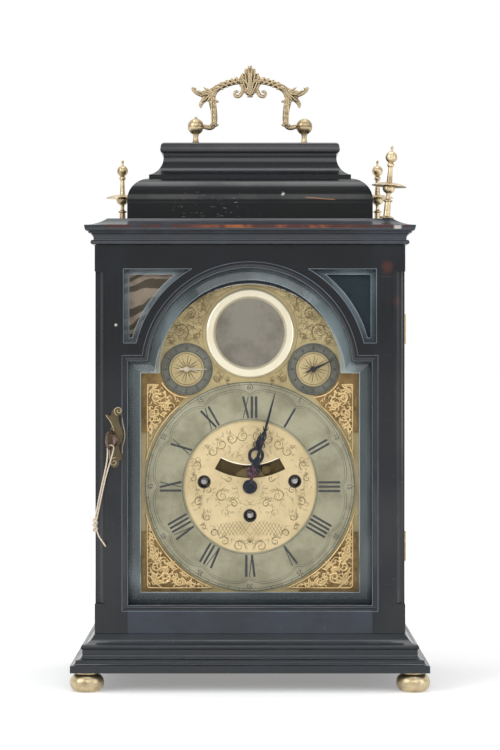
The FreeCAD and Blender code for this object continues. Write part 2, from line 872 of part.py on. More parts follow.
def leaning_bore():
    bore = doc.addObject("Part::Cylinder", "leaning_bore")
    bind(bore, "Radius", S.finial_spigot_radius + S.fit)
    bind(bore, "Height", S.finial_spigot + 0.5)
    lean = sine(S.finial_lean) * (S.finial_spigot + 0.5)
    drop = cosine(S.finial_lean) * (S.finial_spigot + 0.5)
    return place(bore, LEANING_FINIAL[0] - lean, LEANING_FINIAL[1], CORNICE_TOP + LEAN_RISE - drop,
                 (0, 1, 0), S.finial_lean)


def finials():
    stem_top = S.finial_dish + S.finial_stem
    cup_low = stem_top + S.finial_neck + 1.2
    cup_top = cup_low + S.finial_cup
    disc = cup_top + 2.4
    column_top = disc + S.finial_disc + S.finial_column
    stem, column, top = S.finial_stem_radius, S.finial_column_radius, S.finial_tip_radius
    knop, sphere = S.finial_knop_radius, S.finial_ball_radius
    waist = 0.6 * knop
    knop_top = column_top + 1.4 * knop
    ball = knop_top + root(sphere * sphere - waist * waist)
    tip = ball + sphere + S.finial_tip
    profile = [
        (0.0, -S.finial_spigot),
        (S.finial_spigot_radius, -S.finial_spigot),
        (S.finial_spigot_radius, 0.0),
        (S.finial_dish_radius, 0.0),
        ("arc", (0.8 * S.finial_dish_radius, 0.8 * S.finial_dish), (stem, S.finial_dish)),
        (0.85 * stem, stem_top),
        ("arc", (S.finial_ring_radius, stem_top + 0.7), (0.85 * stem, stem_top + 1.4)),
        ("arc", (0.6 * stem, stem_top + 0.5 * S.finial_neck), (0.75 * stem, cup_low)),
        ("arc", (0.9 * S.finial_cup_radius, cup_low + 0.4 * S.finial_cup), (S.finial_cup_radius, cup_top)),
        (0.8 * S.finial_cup_radius, cup_top + 0.8),
        (0.6 * S.finial_cup_radius, disc - 0.4),
        (S.finial_disc_radius, disc - S.finial_disc_droop),
        (S.finial_disc_radius, disc - S.finial_disc_droop + 0.5 * S.finial_disc),
        ("arc", (0.55 * S.finial_disc_radius, disc + 0.95 * S.finial_disc),
         (column, disc + S.finial_disc + 0.6)),
        (0.7 * column, column_top),
        ("arc", (knop, column_top + 0.7 * knop), (waist, knop_top)),
        ("arc", (sphere, ball), (sphere * sine(12.0), ball + sphere * cosine(12.0))),
        (0.6 * top, ball + sphere + 0.4 * S.finial_tip),
        ("arc", (top, tip - 0.9 * top), (0.3 * top, tip)),
        (0.0, tip),
    ]
    pieces = [turned(f"finial{i}", x, y, CORNICE_TOP, profile) for i, (x, y) in enumerate(UPRIGHT_FINIALS)]
    pieces.append(turned("finial_leaning", *LEANING_FINIAL, CORNICE_TOP + LEAN_RISE, profile, (0, 1, 0),
                         S.finial_lean))
    node("finials", group("finial_set", *pieces))


def caddy():
    """The two tiers of the inverted-bell top."""
    lower = [
        (0.0, CORNICE_TOP),
        (0.0, CORNICE_TOP + S.tier_upright),
        ("arc", (-0.293 * S.tier_roll,
                 CORNICE_TOP + S.tier_upright + 0.707 * (S.tier_height - S.tier_upright)),
         (-S.tier_roll, TIER_TOP)),
    ]
    solid = moulded("lower_tier_solid", S.tier_half_width, S.tier_half_depth, lower)
    wall = S.tier_roll + S.cap_edge
    inside = block("lower_tier_inside", (wall - S.tier_half_width, S.tier_half_width - wall),
                   (wall - S.tier_half_depth, S.tier_half_depth - wall),
                   (CORNICE_TOP - 1.0, TIER_TOP - S.cap_edge))
    node("caddy_lower", cut("lower_tier", solid, inside))
    rise = TIER_TOP + S.cap_fillet
    hollow = rise + S.cap_hollow_rise
    neck = -S.cap_step - S.cap_hollow
    crown = hollow + S.cap_lip_rise
    upper = [
        (0.0, TIER_TOP),
        (0.0, rise),
        (-S.cap_step, rise),
        ("arc", (-S.cap_step - 0.707 * S.cap_hollow, rise + 0.293 * S.cap_hollow_rise), (neck, hollow)),
        (neck + 0.4 * S.cap_lip, hollow + 0.2 * S.cap_lip_rise),
        ("arc", (neck + 0.9 * S.cap_lip, hollow + 0.55 * S.cap_lip_rise), (neck + S.cap_lip, crown)),
        (neck + 0.85 * S.cap_lip, crown + 0.35 * S.cap_edge),
        ("arc", (neck + 0.5 * S.cap_lip, crown + 0.8 * S.cap_edge), (neck - 0.3 * S.cap_lip, CAP_TOP)),
    ]
    cap = moulded("upper_tier_solid", S.cap_half_width, S.cap_half_depth, upper)
    bore = rod("post_bore", S.post_neck_radius + S.fit, CAP_TOP - S.finial_spigot - 0.5, CAP_TOP + 1.0,
               S.post_reach, 0.0, "z")
    node("caddy_upper", cut("upper_tier", cap, pair("post_bores", bore)))


def handle_posts():
    ball, neck, foot = S.post_ball_radius, S.post_neck_radius, S.post_flange
    middle = foot + S.post_neck + 0.914 * ball
    low = middle - root(ball * ball - neck * neck)
    girdle = root(ball * ball - S.post_groove * S.post_groove)
    crown = middle + ball * cosine(10.0)
    for_both = [
        (0.0, -S.finial_spigot),
        (neck, -S.finial_spigot),
        (neck, 0.0),
        (S.post_flange_radius, 0.0),
        (S.post_flange_radius, 0.5 * foot),
        (0.8 * neck + 0.2 * S.post_flange_radius, foot),
        ("arc", (0.8 * neck, 0.5 * foot + 0.5 * low), (neck, low)),
        ("arc", (0.8 * ball, middle - 0.6 * ball), (girdle, middle - S.post_groove)),
        (girdle - S.post_groove, middle),
        (girdle, middle + S.post_groove),
        ("arc", (0.8 * ball, middle + 0.6 * ball), (ball * sine(10.0), crown)),
    ]
    plain = for_both + [(0.0, crown)]
    tipped = for_both + [
        ("arc", (0.2 * ball, crown + 0.14 * ball), (0.05 * ball, crown + 0.25 * ball)),
        (0.0, crown + 0.25 * ball),
    ]
    posts = []
    for name, x, profile in (("right_post", S.post_reach, plain), ("left_post", -S.post_reach, tipped)):
        post = turned(name, x, 0.0, CAP_TOP, profile)
        ends = (x - 1.2 * ball, x) if name == "right_post" else (x, x + 1.2 * ball)
        socket = rod(name + "_socket", S.pivot_radius + S.fit, ends[0], ends[1], 0.0, BALL, "x")
        posts.append(cut(name + "_drilled", post, socket))
    node("handle_posts", group("posts", *posts))


def carrying_handle():
    """The cast loop: scrolled legs, outward horns, and a palmette in the middle."""
    thick = S.handle_thickness / 2.0
    reach = S.post_reach - S.post_ball_radius - S.handle_side_gap
    wide, rise = S.handle_half_width, S.handle_rise
    half = [
        (0.0, BALL + 0.53 * rise),
        (0.07 * wide, BALL + 0.53 * rise),
        (0.17 * wide, BALL + 0.43 * rise),
        ("arc", (0.26 * wide, BALL + 0.46 * rise), (0.23 * wide, BALL + 0.56 * rise)),
        ("arc", (0.40 * wide, BALL + 0.595 * rise), (0.515 * wide, BALL + 0.46 * rise)),
        (0.46 * wide, BALL + 0.36 * rise),
        (0.54 * wide, BALL + 0.30 * rise),
        ("arc", (0.55 * wide, BALL + 0.14 * rise), (0.55 * wide, BALL + 0.0)),
        ("arc", (0.60 * wide, BALL - 0.03 * rise), (reach, BALL - S.pivot_radius)),
        (reach, BALL + S.pivot_radius),
        ("arc", (0.69 * wide, BALL + 0.15 * rise), (0.74 * wide, BALL + 0.30 * rise)),
        (0.83 * wide, BALL + 0.27 * rise),
        (0.86 * wide, BALL + 0.42 * rise),
        ("arc", (0.95 * wide, BALL + 0.48 * rise), (wide, BALL + 0.56 * rise)),
        (0.95 * wide, BALL + 0.62 * rise),
        ("arc", (0.78 * wide, BALL + 0.54 * rise), (0.62 * wide, BALL + 0.62 * rise)),
        ("arc", (0.42 * wide, BALL + 0.74 * rise), (0.20 * wide, BALL + 0.77 * rise)),
        (0.10 * wide, BALL + 0.80 * rise),
        ("arc", (0.09 * wide, BALL + 0.92 * rise), (0.0, BALL + rise)),
    ]
    side = slab("handle_half", "y", -thick, thick, half)
    pivot = rod("handle_pivot", S.pivot_radius, 0.64 * wide, S.post_reach - 1.0, 0.0, BALL, "x")
    node("carrying_handle", fuse("handle", *[
        side, mirror("handle_other_half", side), pivot, mirror("handle_other_pivot", pivot)]))


# ---------------------------------------------------------------- the front door

def opening_outline(cover):
    """The arched glazed opening of the door, or a larger outline round it."""
    return arched(S.opening_half_width + cover, HANDS - S.opening_drop - cover,
                  HANDS + S.opening_shoulder + cover, HANDS + S.opening_arch, S.opening_radius + cover)


def moulding_outline():
    """The outer edge of the moulding round that opening."""
    return arched(S.opening_half_width + S.moulding_width, HANDS - S.opening_drop - S.moulding_sill,
                  HANDS + S.opening_shoulder + S.moulding_shoulder, HANDS + S.opening_arch,
                  S.opening_radius + S.moulding_arch)


def corner_outline(margin):
    """The quarter opening over the arch, drawn on the right and drawn in by a margin."""
    arch = HANDS + S.opening_arch
    reach, low, high = S.corner_reach - margin, HANDS + S.corner_sill + margin, HANDS + S.corner_head - margin
    radius = S.corner_radius + margin

    def across(z):
        return root(radius * radius - (z - arch) * (z - arch))

    near, far = across(high), across(low)
    x, z = (near + far) / 2.0, (high + low) / 2.0 - arch
    length = root(x * x + z * z)
    middle = (x * radius / length, arch + z * radius / length)
    return [(reach, low), (reach, high), (near, high), ("arc", middle, (far, low))]


def corner(name, start, end):
    return slab(name, "y", start, end, corner_outline(0.0))


def chamfer_cut(name):
    """What the moulded corner takes off the right front edge of the door, between its stops."""
    half, width = S.case_half_width, S.chamfer
    step, hollow = S.chamfer_step, S.chamfer_hollow
    outline = [
        (half + 1.0, FRONT - 1.0),
        (half + 1.0, FRONT + width),
        (half - step, FRONT + width),
        ("arc", (half - step - 0.45 * hollow, FRONT + width - 0.25 * hollow),
         (half - step - hollow, FRONT + width - hollow)),
        ("arc", (half - step - hollow - 0.2, FRONT + width - hollow - 1.5),
         (half - width + 0.6, FRONT + width - hollow - 2.2)),
        (half - width, FRONT + step),
        (half - width, FRONT - 1.0),
    ]
    return slab(name, "z", PLINTH_TOP + S.chamfer_foot, CORNICE_LOW - S.chamfer_head, outline)


def front_door():
    low, high = PLINTH_TOP + S.wood_gap, CORNICE_LOW - S.wood_gap
    half = S.case_half_width
    tools = [
        slab("door_opening", "y", FRONT - 1.0, GLASS, moulding_outline()),
        slab("door_rebate", "y", GLASS - 1.0, DOOR_BACK + 1.0, opening_outline(S.glass_cover)),
        pair("corner_pockets", corner("corner_pocket", FRONT - 1.0, FRONT + S.corner_pocket)),
        pair("door_chamfers", chamfer_cut("door_chamfer")),
        lock_recess(),
        keyhole("door_keyhole", FRONT - 1.0, LOCK_FRONT + 1.0, S.key_bit_width),
    ]
    for i, place_z in enumerate(HINGE_HEIGHTS):
        tools.append(mortise(f"door_mortise{i}", FRONT_PIN, place_z, -1, S.leaf_width, False))
    blank = block("door_blank", (-half, half), (FRONT, DOOR_BACK), (low, high))
    frame = cut("door_frame", blank, *tools)
    joint = half - S.stile_width
    stile = block("stile_box", (joint, half + 1.0), (FRONT - 1.0, DOOR_BACK + 1.0), (low - 1.0, high + 1.0))
    rails = block("rail_box", (-joint, joint), (FRONT - 1.0, DOOR_BACK + 1.0), (low - 1.0, high + 1.0))
    node("door_stiles", common("stiles", frame, pair("stile_boxes", stile)))
    node("door_rails", common("rails", frame, rails))


def ring_body(name, start, depth, outer, inner, rounding):
    """A flat frame between two arched outlines, with its inner front edge rounded over."""
    body = doc.addObject("PartDesign::Body", name)
    sketch = body.newObject("Sketcher::SketchObject", name + "_sketch")
    sketch.AttachmentSupport = [(origin_plane(body, "XZ_Plane"), "")]
    sketch.MapMode = "FlatFace"
    draw(sketch, outer, inner)
    pad = body.newObject("PartDesign::Pad", name + "_pad")
    pad.Profile = sketch
    pad.Reversed = True
    bind(pad, "Length", depth)
    sketch.Visibility = False
    doc.recompute()
    reach = max(abs(number(p[0])) for p in inner if p[0] != "arc") + 0.01
    edges = []
    for i, edge in enumerate(pad.Shape.Edges, start=1):
        box = edge.BoundBox
        inside = -reach < box.XMin and box.XMax < reach and number(inner[0][1]) - 0.01 < box.ZMin
        if abs(box.YMin) < 1e-6 and abs(box.YMax) < 1e-6 and inside and box.ZMax < ring_top(inner) + 0.01:
            edges.append(f"Edge{i}")
    fillet = body.newObject("PartDesign::Fillet", name + "_rounding")
    fillet.Base = (pad, edges)
    bind(fillet, "Radius", rounding)
    return place(body, 0.0, start, 0.0)


def ring_top(outline):
    return max(number(step[1][1]) if step[0] == "arc" else number(step[1]) for step in outline)


def front_glazing():
    inner = opening_outline(0.0)
    moulding = ring_body("moulding", FRONT + S.moulding_set, S.moulding_depth, moulding_outline(), inner,
                         S.moulding_round)
    back = GLASS + S.glass_thickness
    bead = slab("glazing_bead", "y", back, back + S.bead_depth, opening_outline(S.glass_cover), inner)
    node("door_moulding", group("door_mouldings", moulding, bead))
    edge = opening_outline(S.glass_cover)
    flat = opening_outline(S.glass_cover - S.glass_bevel)
    node("door_glass", bevelled("front_pane", GLASS, S.glass_thickness, S.glass_bevel_depth, edge, flat))
    deep = FRONT + S.corner_pocket
    lining = corner("lining", deep - S.lining_thickness, deep)
    node("corner_linings", pair("linings", lining))
    pane = bevelled("corner_pane", deep - S.lining_thickness - S.corner_glass_thickness,
                    S.corner_glass_thickness,
                    S.corner_bevel_depth, corner_outline(0.0), corner_outline(S.corner_bevel))
    node("corner_glasses", pair("corner_panes", pane))


def bevelled(name, start, thickness, depth, edge, flat):
    """A pane whose front face is smaller than its back, by a bevel all round."""
    plate = slab(name + "_plate", "y", start + depth, start + thickness, edge)
    sections = []
    for part, outline, y in (("_edge", edge, start + depth), ("_face", flat, start)):
        sketch = doc.addObject("Sketcher::SketchObject", name + part)
        draw(sketch, outline)
        place(sketch, 0.0, y, 0.0, *PLANES["y"])
        sections.append(sketch)
    loft = doc.addObject("Part::Loft", name + "_bevel")
    loft.Sections = sections
    loft.Solid = True
    loft.Ruled = True
    return fuse(name, plate, loft)


KEY_X = S.key_inset - S.case_half_width
LOCK_LEFT = S.lock_inset - S.case_half_width
LOCK_FRONT = DOOR_BACK - S.lock_depth


def keyhole(name, start, end, slit):
    """A round hole for the shank with a slit below it for the bit."""
    gap = S.keyhole_gap
    hole = rod(name + "_round", S.key_shank_radius + gap, start, end, KEY_X, KEY)
    low = KEY - S.key_shank_radius - S.key_bit_length - gap
    return fuse(name, hole, block(name + "_slit", (KEY_X - slit / 2.0 - gap, KEY_X + slit / 2.0 + gap),
                                  (start, end), (low, KEY)))


def lock_box(name, inset):
    half = S.lock_height / 2.0
    return block(name, (LOCK_LEFT + inset, LOCK_LEFT + S.lock_width - inset),
                 (LOCK_FRONT + inset, DOOR_BACK - inset),
                 (KEY - half + inset, KEY + half - inset))


def lock_recess():
    return block("lock_recess", (LOCK_LEFT, LOCK_LEFT + S.lock_width), (LOCK_FRONT, DOOR_BACK + 1.0),
                 (KEY - S.lock_height / 2.0, KEY + S.lock_height / 2.0))


def lock():
    gap = S.bolt_gap
    slot = block("hook_slot", (-HOOK_X - S.bolt_width / 2.0 - gap, -HOOK_X + S.bolt_width / 2.0 + gap),
                 (DOOR_BACK - 2.0 * S.lock_wall, DOOR_BACK + 1.0),
                 (KEY - S.hook_height / 2.0 - gap, KEY + S.hook_height / 2.0 + S.bolt_travel + gap))
    node("lock_case", cut("lock_shell", lock_box("lock_block", 0.0), lock_box("lock_room", S.lock_wall), slot,
                          keyhole("lock_keyhole", LOCK_FRONT - 1.0, LOCK_FRONT + 2.0 * S.lock_wall,
                                  S.key_bit_width)))
    bolt_back = DOOR_BACK - S.lock_wall - gap
    edge = KEY_X - S.key_shank_radius - S.key_bit_length - gap
    lowest = KEY - S.bolt_height / 2.0
    plate = block("bolt_plate", (LOCK_LEFT + S.lock_wall + gap, edge),
                  (bolt_back - S.bolt_thickness, bolt_back), (lowest, lowest + S.bolt_height))
    hook_x = (-HOOK_X - S.bolt_width / 2.0, -HOOK_X + S.bolt_width / 2.0)
    end = CARCASS + S.hook_reach
    hook = block("bolt_hook", hook_x, (bolt_back - 0.5 * S.bolt_thickness, end),
                 (KEY - S.hook_height / 2.0, KEY + S.hook_height / 2.0))
    tip = block("bolt_tip", hook_x, (end - S.hook_tip + 0.5, end),
                (KEY + S.hook_height / 2.0 - 0.5, KEY + S.hook_height / 2.0 + S.hook_tip))
    node("lock_bolt", fuse("bolt", plate, hook, tip))
    outline = []
    for step in ESCUTCHEON:
        if step[0] == "arc":
            outline.append(("arc", (KEY_X + step[1][0], KEY + step[1][1]),
                            (KEY_X + step[2][0], KEY + step[2][1])))
        else:
            outline.append((KEY_X + step[0], KEY + step[1]))
    plate = slab("escutcheon_blank", "y", FRONT - S.escutcheon_thickness, FRONT, outline)
    hole = keyhole("escutcheon_hole", FRONT - 2.0 * S.escutcheon_thickness, FRONT + 1.0, S.key_bit_width)
    node("escutcheon", cut("escutcheon_plate", plate, hole))


# the scrolled edge of the escutcheon, in mm from the keyhole, clockwise from the top scroll
ESCUTCHEON = [
    (-3.0, 22.2),
    ("arc", (1.4, 26.9), (5.2, 24.4)),
    ("arc", (5.4, 21.6), (2.9, 20.8)),
    ("arc", (3.2, 15.4), (5.7, 8.6)),
    ("arc", (6.2, 0.6), (3.0, -4.6)),
    ("arc", (3.4, -8.0), (5.4, -12.6)),
    ("arc", (5.4, -16.6), (2.6, -17.8)),
    ("arc", (1.2, -23.4), (-4.0, -22.0)),
    ("arc", (-4.8, -13.4), (-3.4, -6.2)),
    (-6.0, -2.0),
    ("arc", (-5.4, 5.8), (-3.4, 10.8)),
    ("arc", (-4.4, 15.2), (-8.4, 19.2)),
    (-7.2, 21.6),
    (-4.2, 19.8),
]


def key():
    collar = FRONT - S.escutcheon_thickness - 0.5
    joint = collar - S.key_collar
    inner_end = DOOR_BACK - S.lock_wall - S.bolt_gap
    parts = [
        rod("key_shank", S.key_shank_radius, joint, inner_end, KEY_X, KEY),
        rod("key_collar_ring", S.key_collar_radius, joint, collar, KEY_X, KEY),
        block("key_bit", (KEY_X - S.key_bit_width / 2.0, KEY_X + S.key_bit_width / 2.0),
              (inner_end - S.key_bit_depth, inner_end),
              (KEY - S.key_shank_radius - S.key_bit_length, KEY - 0.5)),
    ]
    bow = doc.addObject("Part::Torus", "key_bow")
    bind(bow, "Radius1", S.key_bow_radius)
    bind(bow, "Radius2", S.key_bow_wire)
    place(bow, BOW[0], BOW[1], KEY)
    bow.Placement.Rotation = FreeCAD.Rotation(FreeCAD.Vector(0, 0, 1), -number(S.key_bow_turn)).multiply(
        FreeCAD.Rotation(FreeCAD.Vector(0, 1, 0), 90.0))
    node("key", fuse("door_key", *parts, bow))


BOW_REACH = S.key_bow_radius + S.key_bow_wire - 0.6
BOW = (KEY_X - BOW_REACH * sine(S.key_bow_turn),
       FRONT - S.escutcheon_thickness - 0.5 - S.key_collar - BOW_REACH * cosine(S.key_bow_turn))


# ---------------------------------------------------------------- the string on the key

# the middle line of the doubled string, in mm from the bottom of the bow, and half the gap between
# its two strands
STRING_LINE = [(-0.2, -2.6), (-1.3, -9.5), (-4.6, -22.6), (-7.7, -36.1), (-10.4, -49.6), (-12.9, -61.0)]
STRING_SPREAD = [2.4, 1.5, 0.8, 0.85, 0.8, 0.8]
STRING_TOP = [(0.0, 2.45), (2.6, 2.25)]
SHORT_END = [(-13.6, -65.0)]
LONG_END = [(-12.2, -68.0), (-10.4, -74.0), (-6.9, -79.0), (-4.2, -83.1)]
KNOT = (-13.0, -65.0)


def strand(name, side, end):
    points = [(side * x, z) for x, z in STRING_TOP]
    points += [(x + side * spread, z) for (x, z), spread in zip(STRING_LINE, STRING_SPREAD)]
    return cord(name, number(S.string_radius), [STRING_FOOT + FreeCAD.Vector(x, 0, z) for x,
                                                z in points + end])


STRING_FOOT = FreeCAD.Vector(number(BOW[0]), number(BOW[1]), number(KEY - S.key_bow_radius))


def cord(name, radius, points):
    """A round cord along straight runs with an arc at each point, as large as its two runs allow."""
    edges, start, radii = [], points[0], []
    for before, here, after in zip(points, points[1:], points[2:]):
        back, ahead = (before - here), (after - here)
        reach = 0.45 * min(back.Length, ahead.Length)
        turn = math.pi - back.getAngle(ahead)
        back.normalize()
        ahead.normalize()
        arc_start, arc_end = here + back * reach, here + ahead * reach
        bend = reach / math.tan(turn / 2)
        towards = (back + ahead).normalize()
        middle = here + towards * (bend / math.cos(turn / 2) - bend)
        edges += [Part.LineSegment(start, arc_start), Part.Arc(arc_start, middle, arc_end)]
        radii.append(round(bend, 2))
        start = arc_end
    edges.append(Part.LineSegment(start, points[-1]))
    path = Part.Wire([edge.toShape() for edge in edges])
    section = Part.Wire(Part.makeCircle(radius, points[0], points[1] - points[0]))
    solid = doc.addObject("Part::Feature", name)
    solid.Shape = path.makePipeShell([section], True, True)
    full = math.pi * radius ** 2 * path.Length
    print(name, "radii", radii, "length", round(path.Length, 1), "volume share",
          round(solid.Shape.Volume / full, 4))
    return solid


def string():
    node("string_left", strand("short_strand", -1, SHORT_END))
    node("string_right", strand("long_strand", 1, LONG_END))
    knot = doc.addObject("Part::Ellipsoid", "knot")
    bind(knot, "Radius1", 2.0 * S.knot_radius)
    bind(knot, "Radius2", S.knot_radius)
    bind(knot, "Radius3", S.knot_radius)
    place(knot, BOW[0] + KNOT[0], BOW[1], KEY - S.key_bow_radius + KNOT[1])
    node("string_knot", knot)


# ---------------------------------------------------------------- the back door

def back_door():
    half, back = INNER - S.door_gap, S.case_half_depth
    front = back - S.back_door_thickness
    low, high = PLINTH_TOP + S.wood_gap, CORNICE_LOW - S.wood_gap

    def window(name, start, end, margin):
        wide = half - S.back_rail + margin
        spring = high - S.back_rail - half + S.back_rail
        outline = [(-wide, low + S.back_rail - margin), (wide, low + S.back_rail - margin), (wide, spring),
                   ("arc", (0.0, spring + wide), (-wide, spring))]
        return slab(name, "y", start, end, outline)

    frame = block("back_blank", (-half, half), (front, back), (low, high))
    pane_back = front + S.back_glass_thickness
    tools = [window("back_window", front - 1.0, back + 1.0, 0.0),
             window("back_rebate", front - 1.0, pane_back, S.back_rebate)]
    tools += mortises("back_mortise", BACK_HINGES, -1)
    node("back_door_frame", cut("back_frame", frame, *tools))
    node("back_door_glass", window("back_pane", front, pane_back, S.back_rebate))
    node("back_door_hinges", group("back_leaves", *leaves("back_leaf", BACK_HINGES, -1, True)))
    plate = block("catch_plate", (CATCH_X - S.catch_width / 2.0, CATCH_X + S.catch_width / 2.0),
                  (back + 0.2, back + 0.2 + S.catch_thickness),
                  (CATCH_Z - S.catch_length / 2.0, CATCH_Z + S.catch_length / 2.0))
    screw = rod("catch_screw", S.catch_screw_radius, back - 6.0, back + 0.2 + S.catch_thickness, CATCH_X,
                CATCH_Z)
    head = rod("catch_head", 1.5 * S.catch_screw_radius, back + 0.2 + S.catch_thickness,
               back + 1.2 + S.catch_thickness, CATCH_X, CATCH_Z)
    node("back_door_catch", fuse("catch", plate, screw, head))


CATCH_X = -(S.case_half_width + INNER) / 2.0
CATCH_Z = HANDS + S.escape_radius


def catch_bore():
    return rod("catch_bore", S.catch_screw_radius + S.fit, S.case_half_depth - 6.5,
               S.case_half_depth + 1.0, CATCH_X, CATCH_Z)


def front_hinges():
    node("door_hinges", group("door_leaves", *leaves("door_leaf", FRONT_HINGES, -1, True)))


# ---------------------------------------------------------------- the dial

def dial_outline(margin):
    return arched(S.dial_half_width + margin, HANDS - S.dial_drop - margin, HANDS + S.dial_shoulder + margin,
                  HANDS + S.dial_arch, S.dial_radius + margin)


def dial():
    board = block("mask_board", (-INNER, INNER), (CARCASS, CARCASS + S.mask_thickness),
                  (PLINTH_TOP, CORNICE_LOW))
    node("dial_mask", cut("mask", board, slab("mask_opening", "y", CARCASS - 1.0,
                                              CARCASS + S.mask_thickness + 1.0,
                                              dial_outline(S.mask_gap))))
    plate = slab("dial_blank", "y", DIAL, DIAL_BACK, dial_outline(0.0))
    swing = HANDS + S.pallet_rise
    across, up = sine(S.slot_half_angle), cosine(S.slot_half_angle)

    def at(radius, side):
        return (side * radius * across, swing - radius * up)

    slot = slab("false_pendulum_slot", "y", DIAL - 1.0, DIAL_BACK + 1.0, [
        ("arc", (0.0, swing - S.slot_outer), at(S.slot_outer, 1.0)),
        at(S.slot_inner, 1.0),
        ("arc", (0.0, swing - S.slot_inner), at(S.slot_inner, -1.0)),
        at(S.slot_outer, -1.0),
    ])
    holes = [slot, rod("centre_hole", S.hour_pipe_radius + 0.4, DIAL - 1.0, DIAL_BACK + 1.0, 0.0, HANDS)]
    for name, (x, z) in WINDING.items():
        holes.append(rod(name + "_winding_hole", S.winding_hole, DIAL - 1.0, DIAL_BACK + 1.0, x, z))
    for name, side in (("left", -1.0), ("right", 1.0)):
        holes.append(rod(name + "_pointer_hole", S.arbor_radius + S.fit, DIAL - 1.0, DIAL_BACK + 1.0,
                         side * S.subsidiary_reach, SUBSIDIARY))
    drilled = cut("dial_drilled", plate, *holes)
    foot = rod("dial_foot", S.dial_foot_radius, DIAL_BACK, PLATE_A, FOOT_REACH,
               HANDS + S.plate_rise - S.pillar_inset)
    low_foot = rod("dial_low_foot", S.dial_foot_radius, DIAL_BACK, PLATE_A, FOOT_REACH,
                   HANDS - S.plate_drop + S.pillar_inset)
    node("dial_plate", fuse("dial", drilled, pair("dial_feet", foot), pair("dial_low_feet", low_foot)))
    ring = cut("ring", rod("ring_disc", S.chapter_outer, DIAL - S.chapter_thickness, DIAL, 0.0, HANDS),
               rod("ring_hole", S.chapter_inner, DIAL - S.chapter_thickness - 1.0, DIAL + 1.0, 0.0, HANDS))
    node("chapter_ring", ring)
    node("corner_mounts", group("mounts", pair("low_mounts", mount("low_mount", -1)),
                                pair("high_mounts", mount("high_mount", 1))))
    boss = HANDS + S.boss_rise
    node("boss_disc", rod("boss", S.boss_radius, DIAL - S.boss_thickness, DIAL, 0.0, boss))
    node("boss_bezel", turned("bezel", 0.0, DIAL, boss, [
        (S.boss_radius, 0.0),
        (S.bezel_radius, 0.0),
        (S.bezel_radius, S.bezel_thickness - S.bezel_round),
        ("arc", (S.bezel_radius - 0.5 * S.bezel_round, S.bezel_thickness - 0.3 * S.bezel_round),
         (S.bezel_radius - S.bezel_round, S.bezel_thickness)),
        (S.boss_radius + S.bezel_round, S.bezel_thickness),
        ("arc", (S.boss_radius + 0.3 * S.bezel_round, S.bezel_thickness - 0.8 * S.bezel_round),
         (S.boss_radius, S.boss_thickness)),
    ], *TO_FRONT))
    rings = []
    for name, side in (("left", -1.0), ("right", 1.0)):
        disc = rod(name + "_subsidiary", S.subsidiary_outer, DIAL - S.subsidiary_thickness, DIAL,
                   side * S.subsidiary_reach, SUBSIDIARY)
        rings.append(cut(name + "_subsidiary_ring", disc, rod(
            name + "_subsidiary_hole", S.subsidiary_inner, DIAL - S.subsidiary_thickness - 1.0, DIAL + 1.0,
            side * S.subsidiary_reach, SUBSIDIARY)))
    node("subsidiary_rings", group("small_rings", *rings))
    for name, side in (("left", -1.0), ("right", 1.0)):
        pointer(name, side)


SUBSIDIARY = HANDS + S.subsidiary_rise
FOOT_REACH = S.plate_half_width - 3.0 * S.pillar_inset
WINDING = {
    "going": (0.0, HANDS - S.winding_drop),
    "strike": (-S.strike_reach, HANDS + S.strike_rise),
    "quarter": (S.quarter_reach, HANDS + S.quarter_rise),
}


def mount(name, side):
    """One cast ornament in the right lower (-1) or upper (1) corner between the dial's edge and its ring."""
    edge = S.dial_half_width - S.mount_gap
    level = HANDS - S.dial_drop + S.mount_gap if side < 0 else HANDS + S.dial_shoulder - S.mount_gap
    radius = S.chapter_outer + S.mount_gap
    drop = HANDS - level if side < 0 else level - HANDS
    near = root(radius * radius - drop * drop) if number(radius) > number(drop) else 0.25 * edge
    far = root(radius * radius - edge * edge) if number(radius) > number(edge) else 0.25 * edge
    reach = S.mount_reach
    sign = -1.0 if side < 0 else 1.0
    start = edge - reach
    outline = [
        (edge, HANDS + sign * (drop - reach)),
        (edge, level),
        (start, level),
        ("arc", (0.5 * (start + edge) - 0.07 * reach, HANDS + sign * (drop - 0.5 * reach - 0.07 * reach)),
         (edge - 0.1 * reach, HANDS + sign * (drop - reach))),
    ]
    blank = slab(name + "_blank", "y", DIAL - S.mount_thickness, DIAL, outline)
    keep_out = [rod(name + "_ring_space", radius, DIAL - 2.0 * S.mount_thickness, DIAL + 1.0, 0.0, HANDS)]
    if side > 0:
        keep_out.append(rod(name + "_small_ring_space", S.subsidiary_outer + S.fit,
                            DIAL - 2.0 * S.mount_thickness,
                            DIAL + 1.0, S.subsidiary_reach, SUBSIDIARY))
    return cut(name, blank, *keep_out)


def pointer(name, side):
    x = side * S.subsidiary_reach
    angle = 90.0 if side < 0 else 65.0
    front = DIAL - S.subsidiary_thickness - S.hand_gap
    half = S.pointer_boss / 2.0
    blade = slab(name + "_blade", "y", 0.0, S.pointer_thickness, [
        (-0.4 * half, -S.pointer_tail),
        (0.4 * half, -S.pointer_tail),
        (half, 0.0),
        (0.5 * half, 0.6 * S.pointer_length),
        (0.0, S.pointer_length),
        (-0.5 * half, 0.6 * S.pointer_length),
        (-half, 0.0),
    ])
    boss = rod(name + "_pointer_boss", S.pointer_boss, -0.3 * S.pointer_thickness, S.pointer_thickness,
               0.0, 0.0)
    arbor = rod(name + "_pointer_arbor", S.arbor_radius, 0.0, DIAL_BACK - front + 2.0, 0.0, 0.0)
    whole = fuse(name + "_pointer_piece", blade, boss, arbor)
    node(name + "_pointer", place(whole, x, front, SUBSIDIARY, (0, 1, 0), angle))


# ---------------------------------------------------------------- hands and motion work

